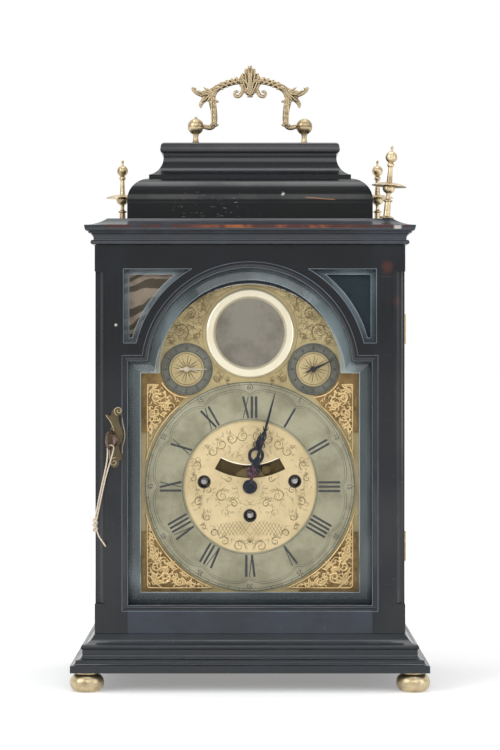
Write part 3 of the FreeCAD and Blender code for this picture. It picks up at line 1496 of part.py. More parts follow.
HOUR_FRONT = DIAL - S.chapter_thickness - S.hand_gap - S.hand_thickness
MINUTE_FRONT = HOUR_FRONT - S.hand_gap - S.hand_thickness
WHEEL_A = PLATE_A - 1.5 * S.wheel_thickness
WHEEL_B = WHEEL_A - 2.0 * S.wheel_thickness


def hands():
    bar, boss, thick = S.hand_bar / 2.0, S.hand_boss, S.hand_thickness
    hour, ring = S.hour_length, S.hour_ring_place
    blade = slab("hour_blade", "y", 0.0, thick, [
        (-bar, 0.5 * boss),
        (bar, 0.5 * boss),
        (bar, ring - 0.9 * S.hour_ring),
        ("arc", (S.hour_ring, ring), (0.9 * bar, ring + 0.97 * S.hour_ring)),
        ("arc", (2.4 * bar, ring + 0.5 * (hour - ring)), (0.8 * bar, ring + 0.68 * (hour - ring))),
        (0.0, hour),
        (-0.8 * bar, ring + 0.68 * (hour - ring)),
        ("arc", (-2.4 * bar, ring + 0.5 * (hour - ring)), (-0.9 * bar, ring + 0.97 * S.hour_ring)),
        ("arc", (-S.hour_ring, ring), (-bar, ring - 0.9 * S.hour_ring)),
    ])
    eye = rod("hour_eye", 0.62 * S.hour_ring, -1.0, 2.0, 0.0, ring)
    disc = rod("hour_boss", boss, 0.0, thick, 0.0, 0.0)
    shaped = place(fuse("hour_piece", cut("hour_pierced", blade, eye), disc), 0.0, HOUR_FRONT, HANDS,
                   (0, 1, 0), S.hour_turn)
    pipe = rod("hour_pipe", S.hour_pipe_radius, HOUR_FRONT, WHEEL_B + S.wheel_thickness, 0.0, HANDS)
    wheel = gear("hour_wheel", S.hour_teeth, 0.0, HANDS, WHEEL_B, WHEEL_B + S.wheel_thickness / 2.0,
                 S.minute_wheel_angle, S.hour_pipe_radius)
    bore = rod("hour_bore", S.minute_pipe_radius + S.fit, HOUR_FRONT - 1.0, PLATE_A, 0.0, HANDS)
    node("hour_hand", group("hour_assembly", cut("hour_piped", fuse("hour_whole", shaped, pipe), bore),
                            wheel))
    minute = S.minute_length
    blade = slab("minute_blade", "y", 0.0, thick, [
        (-0.8 * bar, 0.5 * boss),
        (0.8 * bar, 0.5 * boss),
        (0.8 * bar, 0.14 * minute),
        ("arc", (3.0 * bar, 0.22 * minute), (1.2 * bar, 0.32 * minute)),
        (1.3 * bar, 0.42 * minute),
        (0.0, minute),
        (-1.3 * bar, 0.42 * minute),
        (-1.2 * bar, 0.32 * minute),
        ("arc", (-3.0 * bar, 0.22 * minute), (-0.8 * bar, 0.14 * minute)),
    ])
    disc = rod("minute_boss", 0.8 * boss, 0.0, thick, 0.0, 0.0)
    nut = rod("minute_collet", 0.45 * boss, -1.0, 0.1, 0.0, 0.0)
    shaped = place(fuse("minute_piece", blade, disc, nut), 0.0, MINUTE_FRONT, HANDS, (0, 1, 0), S.minute_turn)
    start = WHEEL_A - 0.2 * S.wheel_thickness
    pipe = rod("minute_pipe", S.minute_pipe_radius, MINUTE_FRONT, start + 1.4 * S.wheel_thickness, 0.0, HANDS)
    cannon = gear("cannon_pinion", S.cannon_teeth, 0.0, HANDS, start, start + 1.4 * S.wheel_thickness,
                  S.minute_wheel_angle + 180.0 / S.cannon_teeth, S.minute_pipe_radius)
    bore = rod("minute_bore", S.arbor_radius + S.fit, MINUTE_FRONT + 0.4, PLATE_A, 0.0, HANDS)
    node("minute_hand", group("minute_assembly",
                              cut("minute_piped", fuse("minute_whole", shaped, pipe), bore), cannon))
    x, z = MINUTE_ARBOR
    back = S.minute_wheel_angle + 180.0
    wheel = gear("minute_wheel_teeth", S.minute_teeth, x, z, WHEEL_A, WHEEL_A + 0.75 * S.wheel_thickness,
                 back,
                 S.pivot_end_radius)
    leaves_start = WHEEL_B - 0.25 * S.wheel_thickness
    leaves_gear = gear("minute_leaves_teeth", S.minute_leaves, x, z, leaves_start, WHEEL_A,
                       back + 180.0 / S.minute_leaves, S.pivot_end_radius)
    post = rod("minute_arbor", S.pivot_end_radius, leaves_start, PLATE_A_BACK, x, z)
    node("minute_wheel", group("minute_wheel_whole", wheel, leaves_gear, post))


MINUTE_ARBOR = (
    (pitch_radius(S.cannon_teeth) + pitch_radius(S.minute_teeth)) * cosine(S.minute_wheel_angle),
    HANDS + (pitch_radius(S.cannon_teeth) + pitch_radius(S.minute_teeth)) * sine(S.minute_wheel_angle),
)


# ---------------------------------------------------------------- the movement

def from_point(start, reach, degrees):
    return (start[0] + reach * cosine(degrees), start[1] + reach * sine(degrees))


def direction(start, end):
    return math.degrees(math.atan2(number(end[1]) - number(start[1]), number(end[0]) - number(start[0])))


GREAT_REACH = pitch_radius(S.great_teeth) + pitch_radius(S.pinion_leaves)
CENTRE = (0.0, HANDS)
THIRD = from_point(CENTRE, pitch_radius(S.centre_teeth) + pitch_radius(S.pinion_leaves), 90.0 - S.third_lean)
THIRD_REACH = pitch_radius(S.third_teeth) + pitch_radius(S.pinion_leaves)
ESCAPE = (0.0, THIRD[1] + root(THIRD_REACH * THIRD_REACH - THIRD[0] * THIRD[0]))
PALLET = (0.0, HANDS + S.pallet_rise)
STRIKE_SECOND = from_point(WINDING["strike"], GREAT_REACH, 104.0)
QUARTER_SECOND = from_point(WINDING["quarter"], GREAT_REACH, 76.0)

# depths of the wheels between the plates
GREAT = PLATE_A_BACK + 5.0 * S.wheel_thickness / 2.0
DRUM = GREAT + S.wheel_thickness
DRUM_END = DRUM + S.barrel_length
UPPER = DRUM_END + S.wheel_thickness
LATER = UPPER + 2.6 * S.wheel_thickness


def arbor(name, at, start=PLATE_A, end=PLATE_B_BACK):
    """A steel arbor between the plates, with thinner pivots in their holes."""
    x, z = at
    body = rod(name + "_arbor", S.arbor_radius, PLATE_A_BACK + S.end_shake, PLATE_B - S.end_shake, x, z)
    return fuse(name + "_arbor_piece", body, rod(name + "_pivots", S.pivot_end_radius, start, end, x, z))


def meshed(name, wheel, wheel_at, pinion_at, wheel_start, pinion_start, bore=S.arbor_radius):
    """A wheel and the pinion that it drives, turned so that a tooth stands between two leaves."""
    towards = direction(wheel_at, pinion_at)
    big = gear(name + "_teeth", wheel, *wheel_at, wheel_start, wheel_start + S.wheel_thickness, towards, bore)
    small = gear(name + "_leaves", S.pinion_leaves, *pinion_at, pinion_start, pinion_start + S.pinion_length,
                 towards + 180.0 + 180.0 / number(S.pinion_leaves), S.arbor_radius)
    return big, small


def barrel(name, great):
    """A spring barrel with its great wheel, turning freely on the winding arbor."""
    x, z = WINDING[name]
    drum = cut(name + "_drum", rod(name + "_drum_outside", S.barrel_radius, DRUM, DRUM_END, x, z),
               rod(name + "_drum_inside", S.barrel_radius - S.barrel_wall, DRUM, DRUM_END - S.barrel_wall,
                   x, z))
    bore = rod(name + "_barrel_bore", S.winding_radius + S.fit, DRUM - 1.0, DRUM_END + 1.0, x, z)
    node(name + "_barrel", group(name + "_barrel_piece", great, cut(name + "_drum_bored", drum, bore)))
    points = []
    for tooth in range(int(number(S.ratchet_teeth))):
        step = 2 * math.pi / number(S.ratchet_teeth)
        for radius, part in ((number(S.ratchet_radius), 0.0),
                             (number(S.ratchet_radius - S.ratchet_tooth), 0.08)):
            angle = (tooth + part) * step
            points.append(FreeCAD.Vector(radius * math.cos(angle), 0, radius * math.sin(angle)))
    ratchet_start = PLATE_A_BACK + S.end_shake
    ratchet = toothed(name + "_ratchet", points, S.winding_radius, x, z, ratchet_start,
                      ratchet_start + S.wheel_thickness)
    half = S.winding_square / 2.0
    square = block(name + "_square", (x - half, x + half), (DIAL + 1.0, PLATE_A - 1.0), (z - half, z + half))
    core = rod(name + "_winding_core", S.winding_radius, PLATE_A - 2.0, PLATE_B - S.end_shake, x, z)
    pivot = rod(name + "_winding_pivot", S.arbor_radius, PLATE_B - 1.0, PLATE_B_BACK, x, z)
    node(name + "_arbor", group(name + "_winding_arbor", ratchet,
                                fuse(name + "_winding_shaft", square, core, pivot)))


def going_train():
    great, centre_leaves = meshed("going_great", S.great_teeth, WINDING["going"], CENTRE, GREAT,
                                  GREAT - 0.7 * S.wheel_thickness, S.winding_radius + S.fit)
    barrel("going", great)
    centre, third_leaves = meshed("centre", S.centre_teeth, CENTRE, THIRD, LATER,
                                  LATER - 0.75 * S.wheel_thickness)
    front = MINUTE_FRONT + 0.4
    stem = rod("centre_front", S.arbor_radius, front, PLATE_A_BACK + 1.0, *CENTRE)
    shaft = fuse("centre_shaft", arbor("centre", CENTRE), stem)
    node("centre_wheel", group("centre_piece", centre, centre_leaves, shaft))
    third, escape_leaves = meshed("third", S.third_teeth, THIRD, ESCAPE, UPPER,
                                  UPPER - 0.75 * S.wheel_thickness)
    node("third_wheel", group("third_piece", third, third_leaves, arbor("third", THIRD)))
    node("escape_wheel", group("escape_piece", escape_teeth(), escape_leaves, arbor("escape", ESCAPE)))


ESCAPE_START = DRUM_END - 4.0 * S.wheel_thickness


def escape_teeth():
    """Recoil teeth: a steep face and a sloping back."""
    count = int(number(S.escape_teeth))
    tip, low = number(S.escape_radius), number(S.escape_radius - S.escape_tooth)
    points = []
    for tooth in range(count):
        for radius, part in ((low, 0.0), (tip, 0.04), (tip, 0.12), (low, 0.66)):
            angle = (tooth + part) * 2 * math.pi / count
            points.append(FreeCAD.Vector(radius * math.cos(angle), 0, radius * math.sin(angle)))
    return toothed("escape_teeth_ring", points, S.arbor_radius, *ESCAPE, ESCAPE_START,
                   ESCAPE_START + S.wheel_thickness)


def pallets():
    """The anchor on its arbor, with the arm of the false pendulum at the front."""
    x, z = PALLET
    gap, escape = S.pallet_gap, S.escape_radius
    drop = z - ESCAPE[1]
    reach = 0.74 * escape
    tip = -drop + 0.67 * escape
    thick = S.wheel_thickness
    outline = [
        (reach + 0.75 * gap, tip + 0.75 * gap),
        ("arc", (0.9 * reach, -0.18 * drop), (0.0, 0.16 * drop)),
        ("arc", (-0.9 * reach, -0.18 * drop), (-reach - 0.75 * gap, tip + 0.75 * gap)),
        (-reach - 0.75 * gap + 2.6, tip + 0.75 * gap + 2.2),
        ("arc", (0.0, -0.26 * drop), (reach + 0.75 * gap - 2.6, tip + 0.75 * gap + 2.2)),
    ]
    anchor = slab("anchor", "y", 0.0, 2.0 * thick, outline)
    place(anchor, x, ESCAPE_START - 0.5 * thick, z)
    arm = block("false_arm", (-0.6, 0.6), (FALSE_BOB, FALSE_BOB + S.false_bob_thickness),
                (z - S.false_bob_drop, z))
    disc = rod("false_bob", S.false_bob_radius, FALSE_BOB, FALSE_BOB + S.false_bob_thickness, 0.0,
               z - S.false_bob_drop)
    hub = rod("pallet_hub", 2.0 * S.pivot_end_radius, FALSE_BOB, FALSE_BOB + 2.0, x, z)
    tail = PLATE_B_BACK + S.rod_set + S.bob_thickness / 2.0
    whole = fuse("pallet_piece", anchor, arm, disc, hub, arbor("verge", PALLET, FALSE_BOB + 0.5, tail))
    node("pallet_arbor", whole)
    y = PLATE_B_BACK + S.rod_set
    wire = rod("pendulum_rod", S.rod_radius, z - S.bob_drop + S.bob_radius - 1.0, z + 4.0, x, y, "z")
    boss = rod("pendulum_boss", 3.0 * S.rod_radius, y - 2.0, y + 2.0, x, z)
    eye = rod("pendulum_eye", S.pivot_end_radius, y - 5.0, y + 5.0, x, z)
    half = S.bob_thickness / 2.0
    lens = turned("bob", x, y, z - S.bob_drop, [
        (0.0, -half),
        (0.25 * S.bob_radius, -half),
        ("arc", (0.7 * S.bob_radius, -0.69 * half), (S.bob_radius, -0.1 * half)),
        (S.bob_radius, 0.1 * half),
        ("arc", (0.7 * S.bob_radius, 0.69 * half), (0.25 * S.bob_radius, half)),
        (0.0, half),
    ], *TO_BACK)
    node("pendulum", cut("pendulum_piece", fuse("pendulum_whole", wire, boss, lens), eye))


FALSE_BOB = DIAL_BACK + 0.6


def second_wheels():
    for name, at in (("strike", STRIKE_SECOND), ("quarter", QUARTER_SECOND)):
        great, leaves_gear = meshed(name + "_great", S.great_teeth, WINDING[name], at, GREAT,
                                    GREAT - 0.7 * S.wheel_thickness, S.winding_radius + S.fit)
        barrel(name, great)
        wheel = gear(name + "_second_teeth", S.second_teeth, *at, UPPER, UPPER + S.wheel_thickness, 90.0,
                     S.arbor_radius)
        node(name + "_wheel", group(name + "_second_piece", wheel, leaves_gear, arbor(name + "_second", at)))


def movement_frame():
    bores = []
    for name, at in (("centre", CENTRE), ("third", THIRD), ("escape", ESCAPE), ("pallet", PALLET),
                     ("strike_second", STRIKE_SECOND), ("quarter_second", QUARTER_SECOND)):
        radius = S.arbor_radius if name == "centre" else S.pivot_end_radius
        bores.append((name, at, radius, S.pivot_end_radius))
    for name, at in WINDING.items():
        bores.append((name, at, S.winding_radius, S.arbor_radius))
    bores.append(("minute", MINUTE_ARBOR, S.pivot_end_radius, None))
    half = S.plate_half_width
    height = (HANDS - S.plate_drop, HANDS + S.plate_rise)
    for label, start, end, index in (("front_plate", PLATE_A, PLATE_A_BACK, 2),
                                     ("back_plate", PLATE_B, PLATE_B_BACK, 3)):
        holes = [rod(f"{label}_{bore[0]}", bore[index] + S.fit, start - 1.0, end + 1.0, *bore[1])
                 for bore in bores if bore[index] is not None]
        node(label, cut(label + "_drilled", block(label + "_blank", (-half, half), (start, end), height),
                        *holes))
    pillars = []
    low, high = height[0] + S.pillar_inset, height[1] - S.pillar_inset
    across = half - S.pillar_inset
    for i, (x, z) in enumerate(((-across, low), (across, low), (-across, high), (across, high), (0.0, low))):
        waist = 0.65 * S.pillar_radius
        pillars.append(turned(f"pillar{i}", x, PLATE_A_BACK, z, [
            (0.0, 0.0),
            (S.pillar_radius, 0.0),
            (S.pillar_radius, 0.08 * S.plate_spacing),
            ("arc", (waist, 0.2 * S.plate_spacing), (waist, 0.42 * S.plate_spacing)),
            ("arc", (0.95 * S.pillar_radius, 0.5 * S.plate_spacing), (waist, 0.58 * S.plate_spacing)),
            ("arc", (waist, 0.8 * S.plate_spacing), (S.pillar_radius, 0.92 * S.plate_spacing)),
            (S.pillar_radius, S.plate_spacing),
            (0.0, S.plate_spacing),
        ], *TO_BACK))
    node("movement_posts", group("posts_and_standards", *pillars, *bell_standards()))
    seat = HANDS - S.plate_drop
    node("seat_board", block("seat", (-INNER, INNER), (PLATE_A - S.seat_ahead, PLATE_B_BACK + S.seat_behind),
                             (seat - S.seat_thickness, seat)))


def bells():
    shells = []
    for name, x, radius in BELLS:
        inner = radius - S.bell_wall
        crown = 0.8 * radius
        shells.append(turned(name + "_bell", x, BELL_CROWN, BELL_TOP, [
            (S.stud_radius + S.fit, 0.0),
            (0.3 * radius, 0.0),
            ("arc", (0.78 * radius, 0.22 * radius), (radius, crown)),
            (inner, crown),
            ("arc", (0.78 * inner, 0.22 * radius + 1.1 * S.bell_wall), (0.3 * inner, S.bell_wall)),
            (S.stud_radius + S.fit, S.bell_wall),
        ], *TO_FRONT))
    node("bells", group("bell_pair", *shells))


def bell_standards():
    """The straps on the back plate with the studs that carry the two bells."""
    straps = []
    for name, x, radius in BELLS:
        half = S.strap_width / 2.0
        strap = block(name + "_strap", (x - half, x + half), (PLATE_B_BACK, PLATE_B_BACK + S.strap_thickness),
                      (HANDS + S.plate_rise - 2.0 * S.strap_width, BELL_TOP + half))
        stud = rod(name + "_stud", S.stud_radius, BELL_CROWN - 3.0 * S.bell_wall, PLATE_B_BACK + 1.0, x,
                   BELL_TOP)
        nut = rod(name + "_stud_nut", 2.0 * S.stud_radius, BELL_CROWN - 2.0 * S.bell_wall,
                  BELL_CROWN - S.bell_wall, x, BELL_TOP)
        collar = rod(name + "_stud_collar", 1.8 * S.stud_radius, BELL_CROWN, PLATE_B_BACK + 0.5, x, BELL_TOP)
        straps.append(fuse(name + "_standard", strap, stud, nut, collar))
    return straps


BELL_CROWN = PLATE_B - 4.0
BELL_TOP = HANDS + S.bell_rise
BELLS = (("hour", -S.bell_reach, S.hour_bell_radius), ("quarter", S.bell_reach, S.quarter_bell_radius))


def build():
    bun_feet()
    plinth()
    side_frames()
    cornice()
    finials()
    caddy()
    handle_posts()
    carrying_handle()
    front_door()
    front_glazing()
    front_hinges()
    lock()
    key()
    string()
    back_door()
    dial()
    hands()
    going_train()
    pallets()
    second_wheels()
    movement_frame()
    bells()


def check_and_write():
    doc.recompute()
    broken = [f"{thing.Name}: {thing.State}" for thing in doc.Objects
              if "Invalid" in thing.State or "Error" in thing.State]
    for thing in NODES:
        if thing.Shape.isNull() or not thing.Shape.isValid() or not thing.Shape.Solids:
            broken.append(f"{thing.Label}: no valid shape")
    if broken:
        raise RuntimeError("; ".join(broken))
    os.makedirs("parts", exist_ok=True)
    for thing in NODES:
        thing.Shape.exportStep(os.path.join("parts", thing.Label + ".step"))
        print(thing.Label, len(thing.Shape.Solids), "solids", round(thing.Shape.Volume), "mm3")
    print(len(NODES), "nodes")


build()
check_and_write()
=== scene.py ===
import bpy
import math
import random
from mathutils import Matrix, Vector


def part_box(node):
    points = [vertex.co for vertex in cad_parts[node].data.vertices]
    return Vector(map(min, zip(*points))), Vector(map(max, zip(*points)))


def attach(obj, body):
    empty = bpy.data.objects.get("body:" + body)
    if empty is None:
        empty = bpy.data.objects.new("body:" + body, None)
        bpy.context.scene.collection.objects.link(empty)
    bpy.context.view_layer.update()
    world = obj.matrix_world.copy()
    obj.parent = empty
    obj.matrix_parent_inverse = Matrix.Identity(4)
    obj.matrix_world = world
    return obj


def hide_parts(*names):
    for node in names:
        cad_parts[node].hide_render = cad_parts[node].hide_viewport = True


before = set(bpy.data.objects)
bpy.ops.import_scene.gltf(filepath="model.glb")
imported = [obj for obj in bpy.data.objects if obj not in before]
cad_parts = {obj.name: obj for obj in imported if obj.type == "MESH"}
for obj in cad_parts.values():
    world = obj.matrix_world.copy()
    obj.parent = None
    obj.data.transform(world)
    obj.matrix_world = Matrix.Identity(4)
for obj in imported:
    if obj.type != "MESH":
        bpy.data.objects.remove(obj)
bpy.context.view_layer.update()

# A bracket clock in an ebonised case. The pieces below are given in millimetres, in the frame of the
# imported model: X to the right, the front faces -Y, Z up from the soles of the feet.
MM = 0.001
HANDS = 171.3          # height of the centre of the dial
BALL = 487.18          # height of the handle's pivots
SUBSIDIARY = 272.3     # height of the two small rings
SMALL_RING = 54.5      # how far they are from the middle
BOSS = 303.4           # height of the boss in the arch
ARCH = HANDS + 99.9    # height of the centre that the door's arch is drawn round
SLOT = 242.3           # height of the centre that the false pendulum's slot curves round
WINDING_HOLES = ((0, 146.3), (-39.5, 175.3), (38.5, 175.8))
CORNER_REACH = 92.6    # how near the cast corners come to the centre of the dial
FRONT = -84          # front of the door, as a depth, and those that follow are depths too
KEY_PLATE = -85.2
PANES = -78          # front of the glass in the door's corners
GLASS = -73
MINUTE_HAND = -65.9
HOUR_HAND = -63.7
CHAPTER_FRONT = -61.5
SMALL_RING_FRONT = -61.2
DIAL = -60
HOUR_TURN = 11       # degrees clockwise from upright
MINUTE_TURN = 15

# ---------------------------------------------------------------- the camera and the string


def linked(name, data):
    """A new object, put into the scene."""
    made = bpy.data.objects.new(name, data)
    bpy.context.scene.collection.objects.link(made)
    return made


eye = bpy.data.cameras.new("eye")
eye.lens = 107.3
eye.sensor_width = 36
eye.shift_y = -0.02
camera = linked("camera", eye)
camera.location = (0, -1.984, 0.2802)
camera.rotation_euler = (math.radians(90), 0, 0)
bpy.context.scene.camera = camera
bpy.context.scene.view_settings.view_transform = "Standard"

STRING_DEPTH = -0.095279
STRING_WIDTH = 0.0013
SHORT_ROUTE = [
    (-0.117754, 0.20815), (-0.120354, 0.20795), (-0.120354, 0.2031), (-0.120554, 0.1962), (-0.123154, 0.1831),
    (-0.126304, 0.1696), (-0.128954, 0.1561), (-0.131454, 0.1447), (-0.131354, 0.1407),
]
LONG_ROUTE = [
    (-0.117754, 0.20815), (-0.115154, 0.20795), (-0.115554, 0.2031), (-0.117554, 0.1962), (-0.121554, 0.1831),
    (-0.124604, 0.1696), (-0.127354, 0.1561), (-0.129854, 0.1447), (-0.129954, 0.1377), (-0.128154, 0.1317),
    (-0.124654, 0.1267), (-0.121954, 0.1226),
]


def rods(name, half, sides, smooth, routes, order):
    """A curve of closed round rods, each smooth along its route of points in metres."""
    line = bpy.data.curves.new(name, "CURVE")
    line.dimensions = "3D"
    line.bevel_depth = half
    line.bevel_resolution = sides
    line.resolution_u = smooth
    line.use_fill_caps = True
    for route in routes:
        spline = line.splines.new("NURBS")
        spline.points.add(len(route) - 1)
        for point, place in zip(spline.points, route):
            point.co = (*place, 1)
        spline.order_u = min(order, len(route))
        spline.use_endpoint_u = True
    return linked(name, line)


def string_strand(name, route):
    """One strand of the doubled string."""
    return rods(name, STRING_WIDTH / 2, 3, 16, [[(x, STRING_DEPTH, z) for x, z in route]], 3)


# ---------------------------------------------------------------- shaping pieces

def pick_none():
    bpy.ops.object.select_all(action="DESELECT")


def pick_only(piece):
    pick_none()
    piece.select_set(True)
    bpy.context.view_layer.objects.active = piece


def shaped(piece, *steps):
    """Runs edit-mode steps, each an operator with its settings, on all of a piece."""
    pick_only(piece)
    bpy.ops.object.mode_set(mode="EDIT")
    bpy.ops.mesh.select_all(action="SELECT")
    for operator, settings in steps:
        operator(**settings)
    bpy.ops.object.mode_set(mode="OBJECT")
    return piece


def finished(piece, kind, **settings):
    """Adds a modifier, sets it and applies it."""
    pick_only(piece)
    made = piece.modifiers.new(kind.lower(), kind)
    for key, value in settings.items():
        setattr(made, key, value)
    bpy.ops.object.modifier_apply(modifier=made.name)
    return piece


def joined(name, pieces):
    pick_only(pieces[0])
    for piece in pieces:
        piece.select_set(True)
    if len(pieces) > 1:
        bpy.ops.object.join()
    whole = bpy.context.object
    whole.name = name
    whole.data.name = name
    return whole


def settled(piece):
    """Puts a piece's place into its mesh."""
    pick_only(piece)
    bpy.ops.object.transform_apply(location=True, rotation=True, scale=True)
    return piece


def raised(strokes, rise):
    return [([(x, z + rise) for x, z in points], radii) for points, radii in strokes]


def set_round(strokes, degrees):
    """Strokes drawn upright from 0, turned clockwise and set on the centre of the dial."""
    c, s = math.cos(math.radians(degrees)), math.sin(math.radians(degrees))
    turned = [([(x * c + z * s, z * c - x * s) for x, z in points], radii) for points, radii in strokes]
    return raised(turned, HANDS)


def both_sides(strokes):
    """Strokes and their mirror images."""
    return strokes + [([(-x, z) for x, z in points], radii) for points, radii in strokes]


def tracery(name, strokes, depth, relief=1, sides=2, smooth=6):
    """Tapered strokes drawn across Y in mm, each with its half thickness along it, as closed rods."""
    routes = [[(x * MM, 0, z * MM) for x, z in points] for points, radii in strokes]
    piece = rods(name, MM, sides, smooth, routes, 4)
    for spline, (points, radii) in zip(piece.data.splines, strokes):
        for i, point in enumerate(spline.points):
            along = i / (len(points) - 1) * (len(radii) - 1)
            low = min(int(along), len(radii) - 2)
            point.radius = radii[low] + (radii[low + 1] - radii[low]) * (along - low)
    pick_only(piece)
    bpy.ops.object.convert(target="MESH")
    return shaped(
        bpy.context.object,
        (bpy.ops.transform.resize, {"value": (1, relief, 1), "center_override": (0, 0, 0)}),
        (bpy.ops.transform.translate, {"value": (0, depth * MM, 0)}),
    )


def torus(major, minor, counts, place, turn):
    """A ring of round section, its place in metres put into its mesh."""
    pick_none()
    bpy.ops.mesh.primitive_torus_add(
        major_segments=counts[0], minor_segments=counts[1], major_radius=major * MM, minor_radius=minor * MM,
        location=place, rotation=turn)
    return settled(bpy.context.object)


def merged_copy(name, node):
    """A copy of a CAD node with its loose triangles joined up."""
    return shaped(linked(name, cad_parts[node].data.copy()),
                  (bpy.ops.mesh.remove_doubles, {"threshold": 1e-6}))


def casting(piece, voxel, rounds):
    """Runs the strokes of a casting together into one skin."""
    finished(piece, "REMESH", mode="VOXEL", voxel_size=voxel * MM)
    finished(piece, "SMOOTH", factor=0.5, iterations=rounds)
    return smooth(piece, 40)


def smooth(piece, degrees):
    pick_only(piece)
    bpy.ops.object.shade_smooth_by_angle(angle=math.radians(degrees))
    return piece


def worn_by(piece, finish):
    piece.data.materials.clear()
    piece.data.materials.append(finish)
    return piece


def kept(piece, finish, body, slot, *nodes):
    """The last step of a piece: its finish, what it rides on and what it stands for. What it is made of
    (slot) is not used.
    """
    worn_by(piece, finish)
    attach(piece, body)
    if nodes:
        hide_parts(*nodes)
    return piece


# ---------------------------------------------------------------- finishes

class Amount:
    """A number that varies over a surface: the output of a node."""

    def __init__(self, finish, socket):
        self.finish = finish
        self.socket = socket

    def __add__(self, other):
        return self.finish.math("ADD", self, other)

    __radd__ = __add__

    def __sub__(self, other):
        return self.finish.math("SUBTRACT", self, other)

    def __rsub__(self, other):
        return self.finish.math("SUBTRACT", other, self)

    def __mul__(self, other):
        return self.finish.math("MULTIPLY", self, other)

    __rmul__ = __mul__

    def __truediv__(self, other):
        return self.finish.math("DIVIDE", self, other)


class Nodes:
    """A tree of shader nodes, written as expressions."""

    def __init__(self, tree):
        self.tree = tree

    def node(self, kind, settings=None, **sockets):
        made = self.tree.nodes.new("ShaderNode" + kind)
        for key, value in (settings or {}).items():
            setattr(made, key, value)
        for key, value in sockets.items():
            socket = made.inputs[int(key[1:])] if key[0] == "_" else made.inputs[key.replace("_", " ")]
            self.feed(socket, value)
        return made

    def feed(self, socket, value):
        if isinstance(value, Amount):
            value = value.socket
        if isinstance(value, bpy.types.NodeSocket):
            self.tree.links.new(value, socket)
        else:
            socket.default_value = value

    def math(self, operation, *values):
        made = self.node("Math", {"operation": operation}, **{f"_{i}": v for i, v in enumerate(values)})
        return Amount(self, made.outputs[0])

    def ease(self, value, low, high, start=0, end=1):
        made = self.node("MapRange", {"interpolation_type": "SMOOTHSTEP"}, Value=value, _1=low, _2=high,
                         _3=start, _4=end)
        return Amount(self, made.outputs[0])

    def fade(self, value, low, high):
        return self.ease(value, low, high, 1, 0)

    def reach(self, across, up):
        """How far a place is from a centre, by its two distances from it."""
        return self.math("SQRT", across * across + up * up)


class Finish(Nodes):
    """A material in the making: a Principled shader and the nodes that feed it."""

    def __init__(self, name, **constants):
        self.material = bpy.data.materials.new(name)
        self.material.use_nodes = True
        super().__init__(self.material.node_tree)
        self.shader = self.tree.nodes["Principled BSDF"]
        for socket, value in constants.items():
            self.shader.inputs[socket.replace("_", " ")].default_value = value
        self.place = self.node("TexCoord").outputs["Object"]

    def axes(self, at=(0, 0, 0)):
        """The three coordinates in mm from a point."""
        parts = self.node("SeparateXYZ", None, _0=self.place).outputs
        return [(Amount(self, part) - centre * MM) * 1000 for part, centre in zip(parts, at)]

    def spread(self, stretch):
        """Coordinates stretched along the axes, for grain."""
        return self.node("Mapping", None, Vector=self.place, Scale=stretch).outputs[0]

    def noise(self, scale, detail=3, roughness=0.5, stretch=None):
        where = self.spread(stretch) if stretch else self.place
        made = self.node("TexNoise", None, Vector=where, Scale=scale, Detail=detail, Roughness=roughness)
        return Amount(self, made.outputs["Fac"])

    def within(self, value, low, high, soft):
        return self.ease(value, low - soft, low + soft) * self.fade(value, high - soft, high + soft)

    def line(self, distance, half, soft=0.08):
        return self.fade(self.math("ABSOLUTE", distance), half - soft, half + soft)

    def mix(self, share, first, second):
        made = self.node("Mix", {"data_type": "RGBA"}, _0=share)
        self.feed(made.inputs[6], colour(first))
        self.feed(made.inputs[7], colour(second))
        return made.outputs[2]

    def bump(self, height, strength, distance=0.0002, below=None):
        made = self.node("Bump", None, Height=height, Strength=strength, Distance=distance)
        if below is not None:
            self.feed(made.inputs["Normal"], below)
        return made.outputs[0]

    def wear(self, **sockets):
        for key, value in sockets.items():
            self.feed(self.shader.inputs[key.replace("_", " ")], value)
        return self.material


def colour(value):
    return (*value, 1) if isinstance(value, tuple) and len(value) == 3 else value


def shaded(tone, share):
    return tuple(share * part for part in tone)


def ebonised(name, along, tone, worn, polish):
    """Pear wood stained black and waxed: faint grain, a soft uneven polish, dust and fine scratches."""
    finish = Finish(name, Specular_IOR_Level=0.16, Coat_Roughness=0.07)
    stretch = tuple(1 if axis == along else 14 for axis in "xyz")
    grain = finish.noise(38, 6, 0.62, stretch)
    cloud = finish.noise(16, 3, 0.55)
    scratched = tuple(1 if axis == along else 0.12 for axis in "xyz")
    scuff = finish.ease(finish.noise(420, 2, 0.7, scratched), 0.66, 0.78)
    patch = finish.ease(cloud, 0.46, 0.66)
    base = finish.mix(grain, shaded(tone, 0.55), shaded(tone, 1.35))
    base = finish.mix(patch * 0.6, base, shaded(tone, 1.9))
    base = finish.mix(scuff * patch * 0.45, base, (0.11, 0.105, 0.105))
    if worn:
        base = worn(finish, base)
    hills = finish.bump(grain, 0.16, 0.0004)
    hills = finish.bump(finish.noise(55, 2), 0.10, 0.0006, hills)
    return finish.wear(Base_Color=base, Roughness=0.2 + 0.2 * cloud + 0.12 * scuff,
                       Coat_Weight=polish * (1 - 0.5 * patch), Normal=hills)


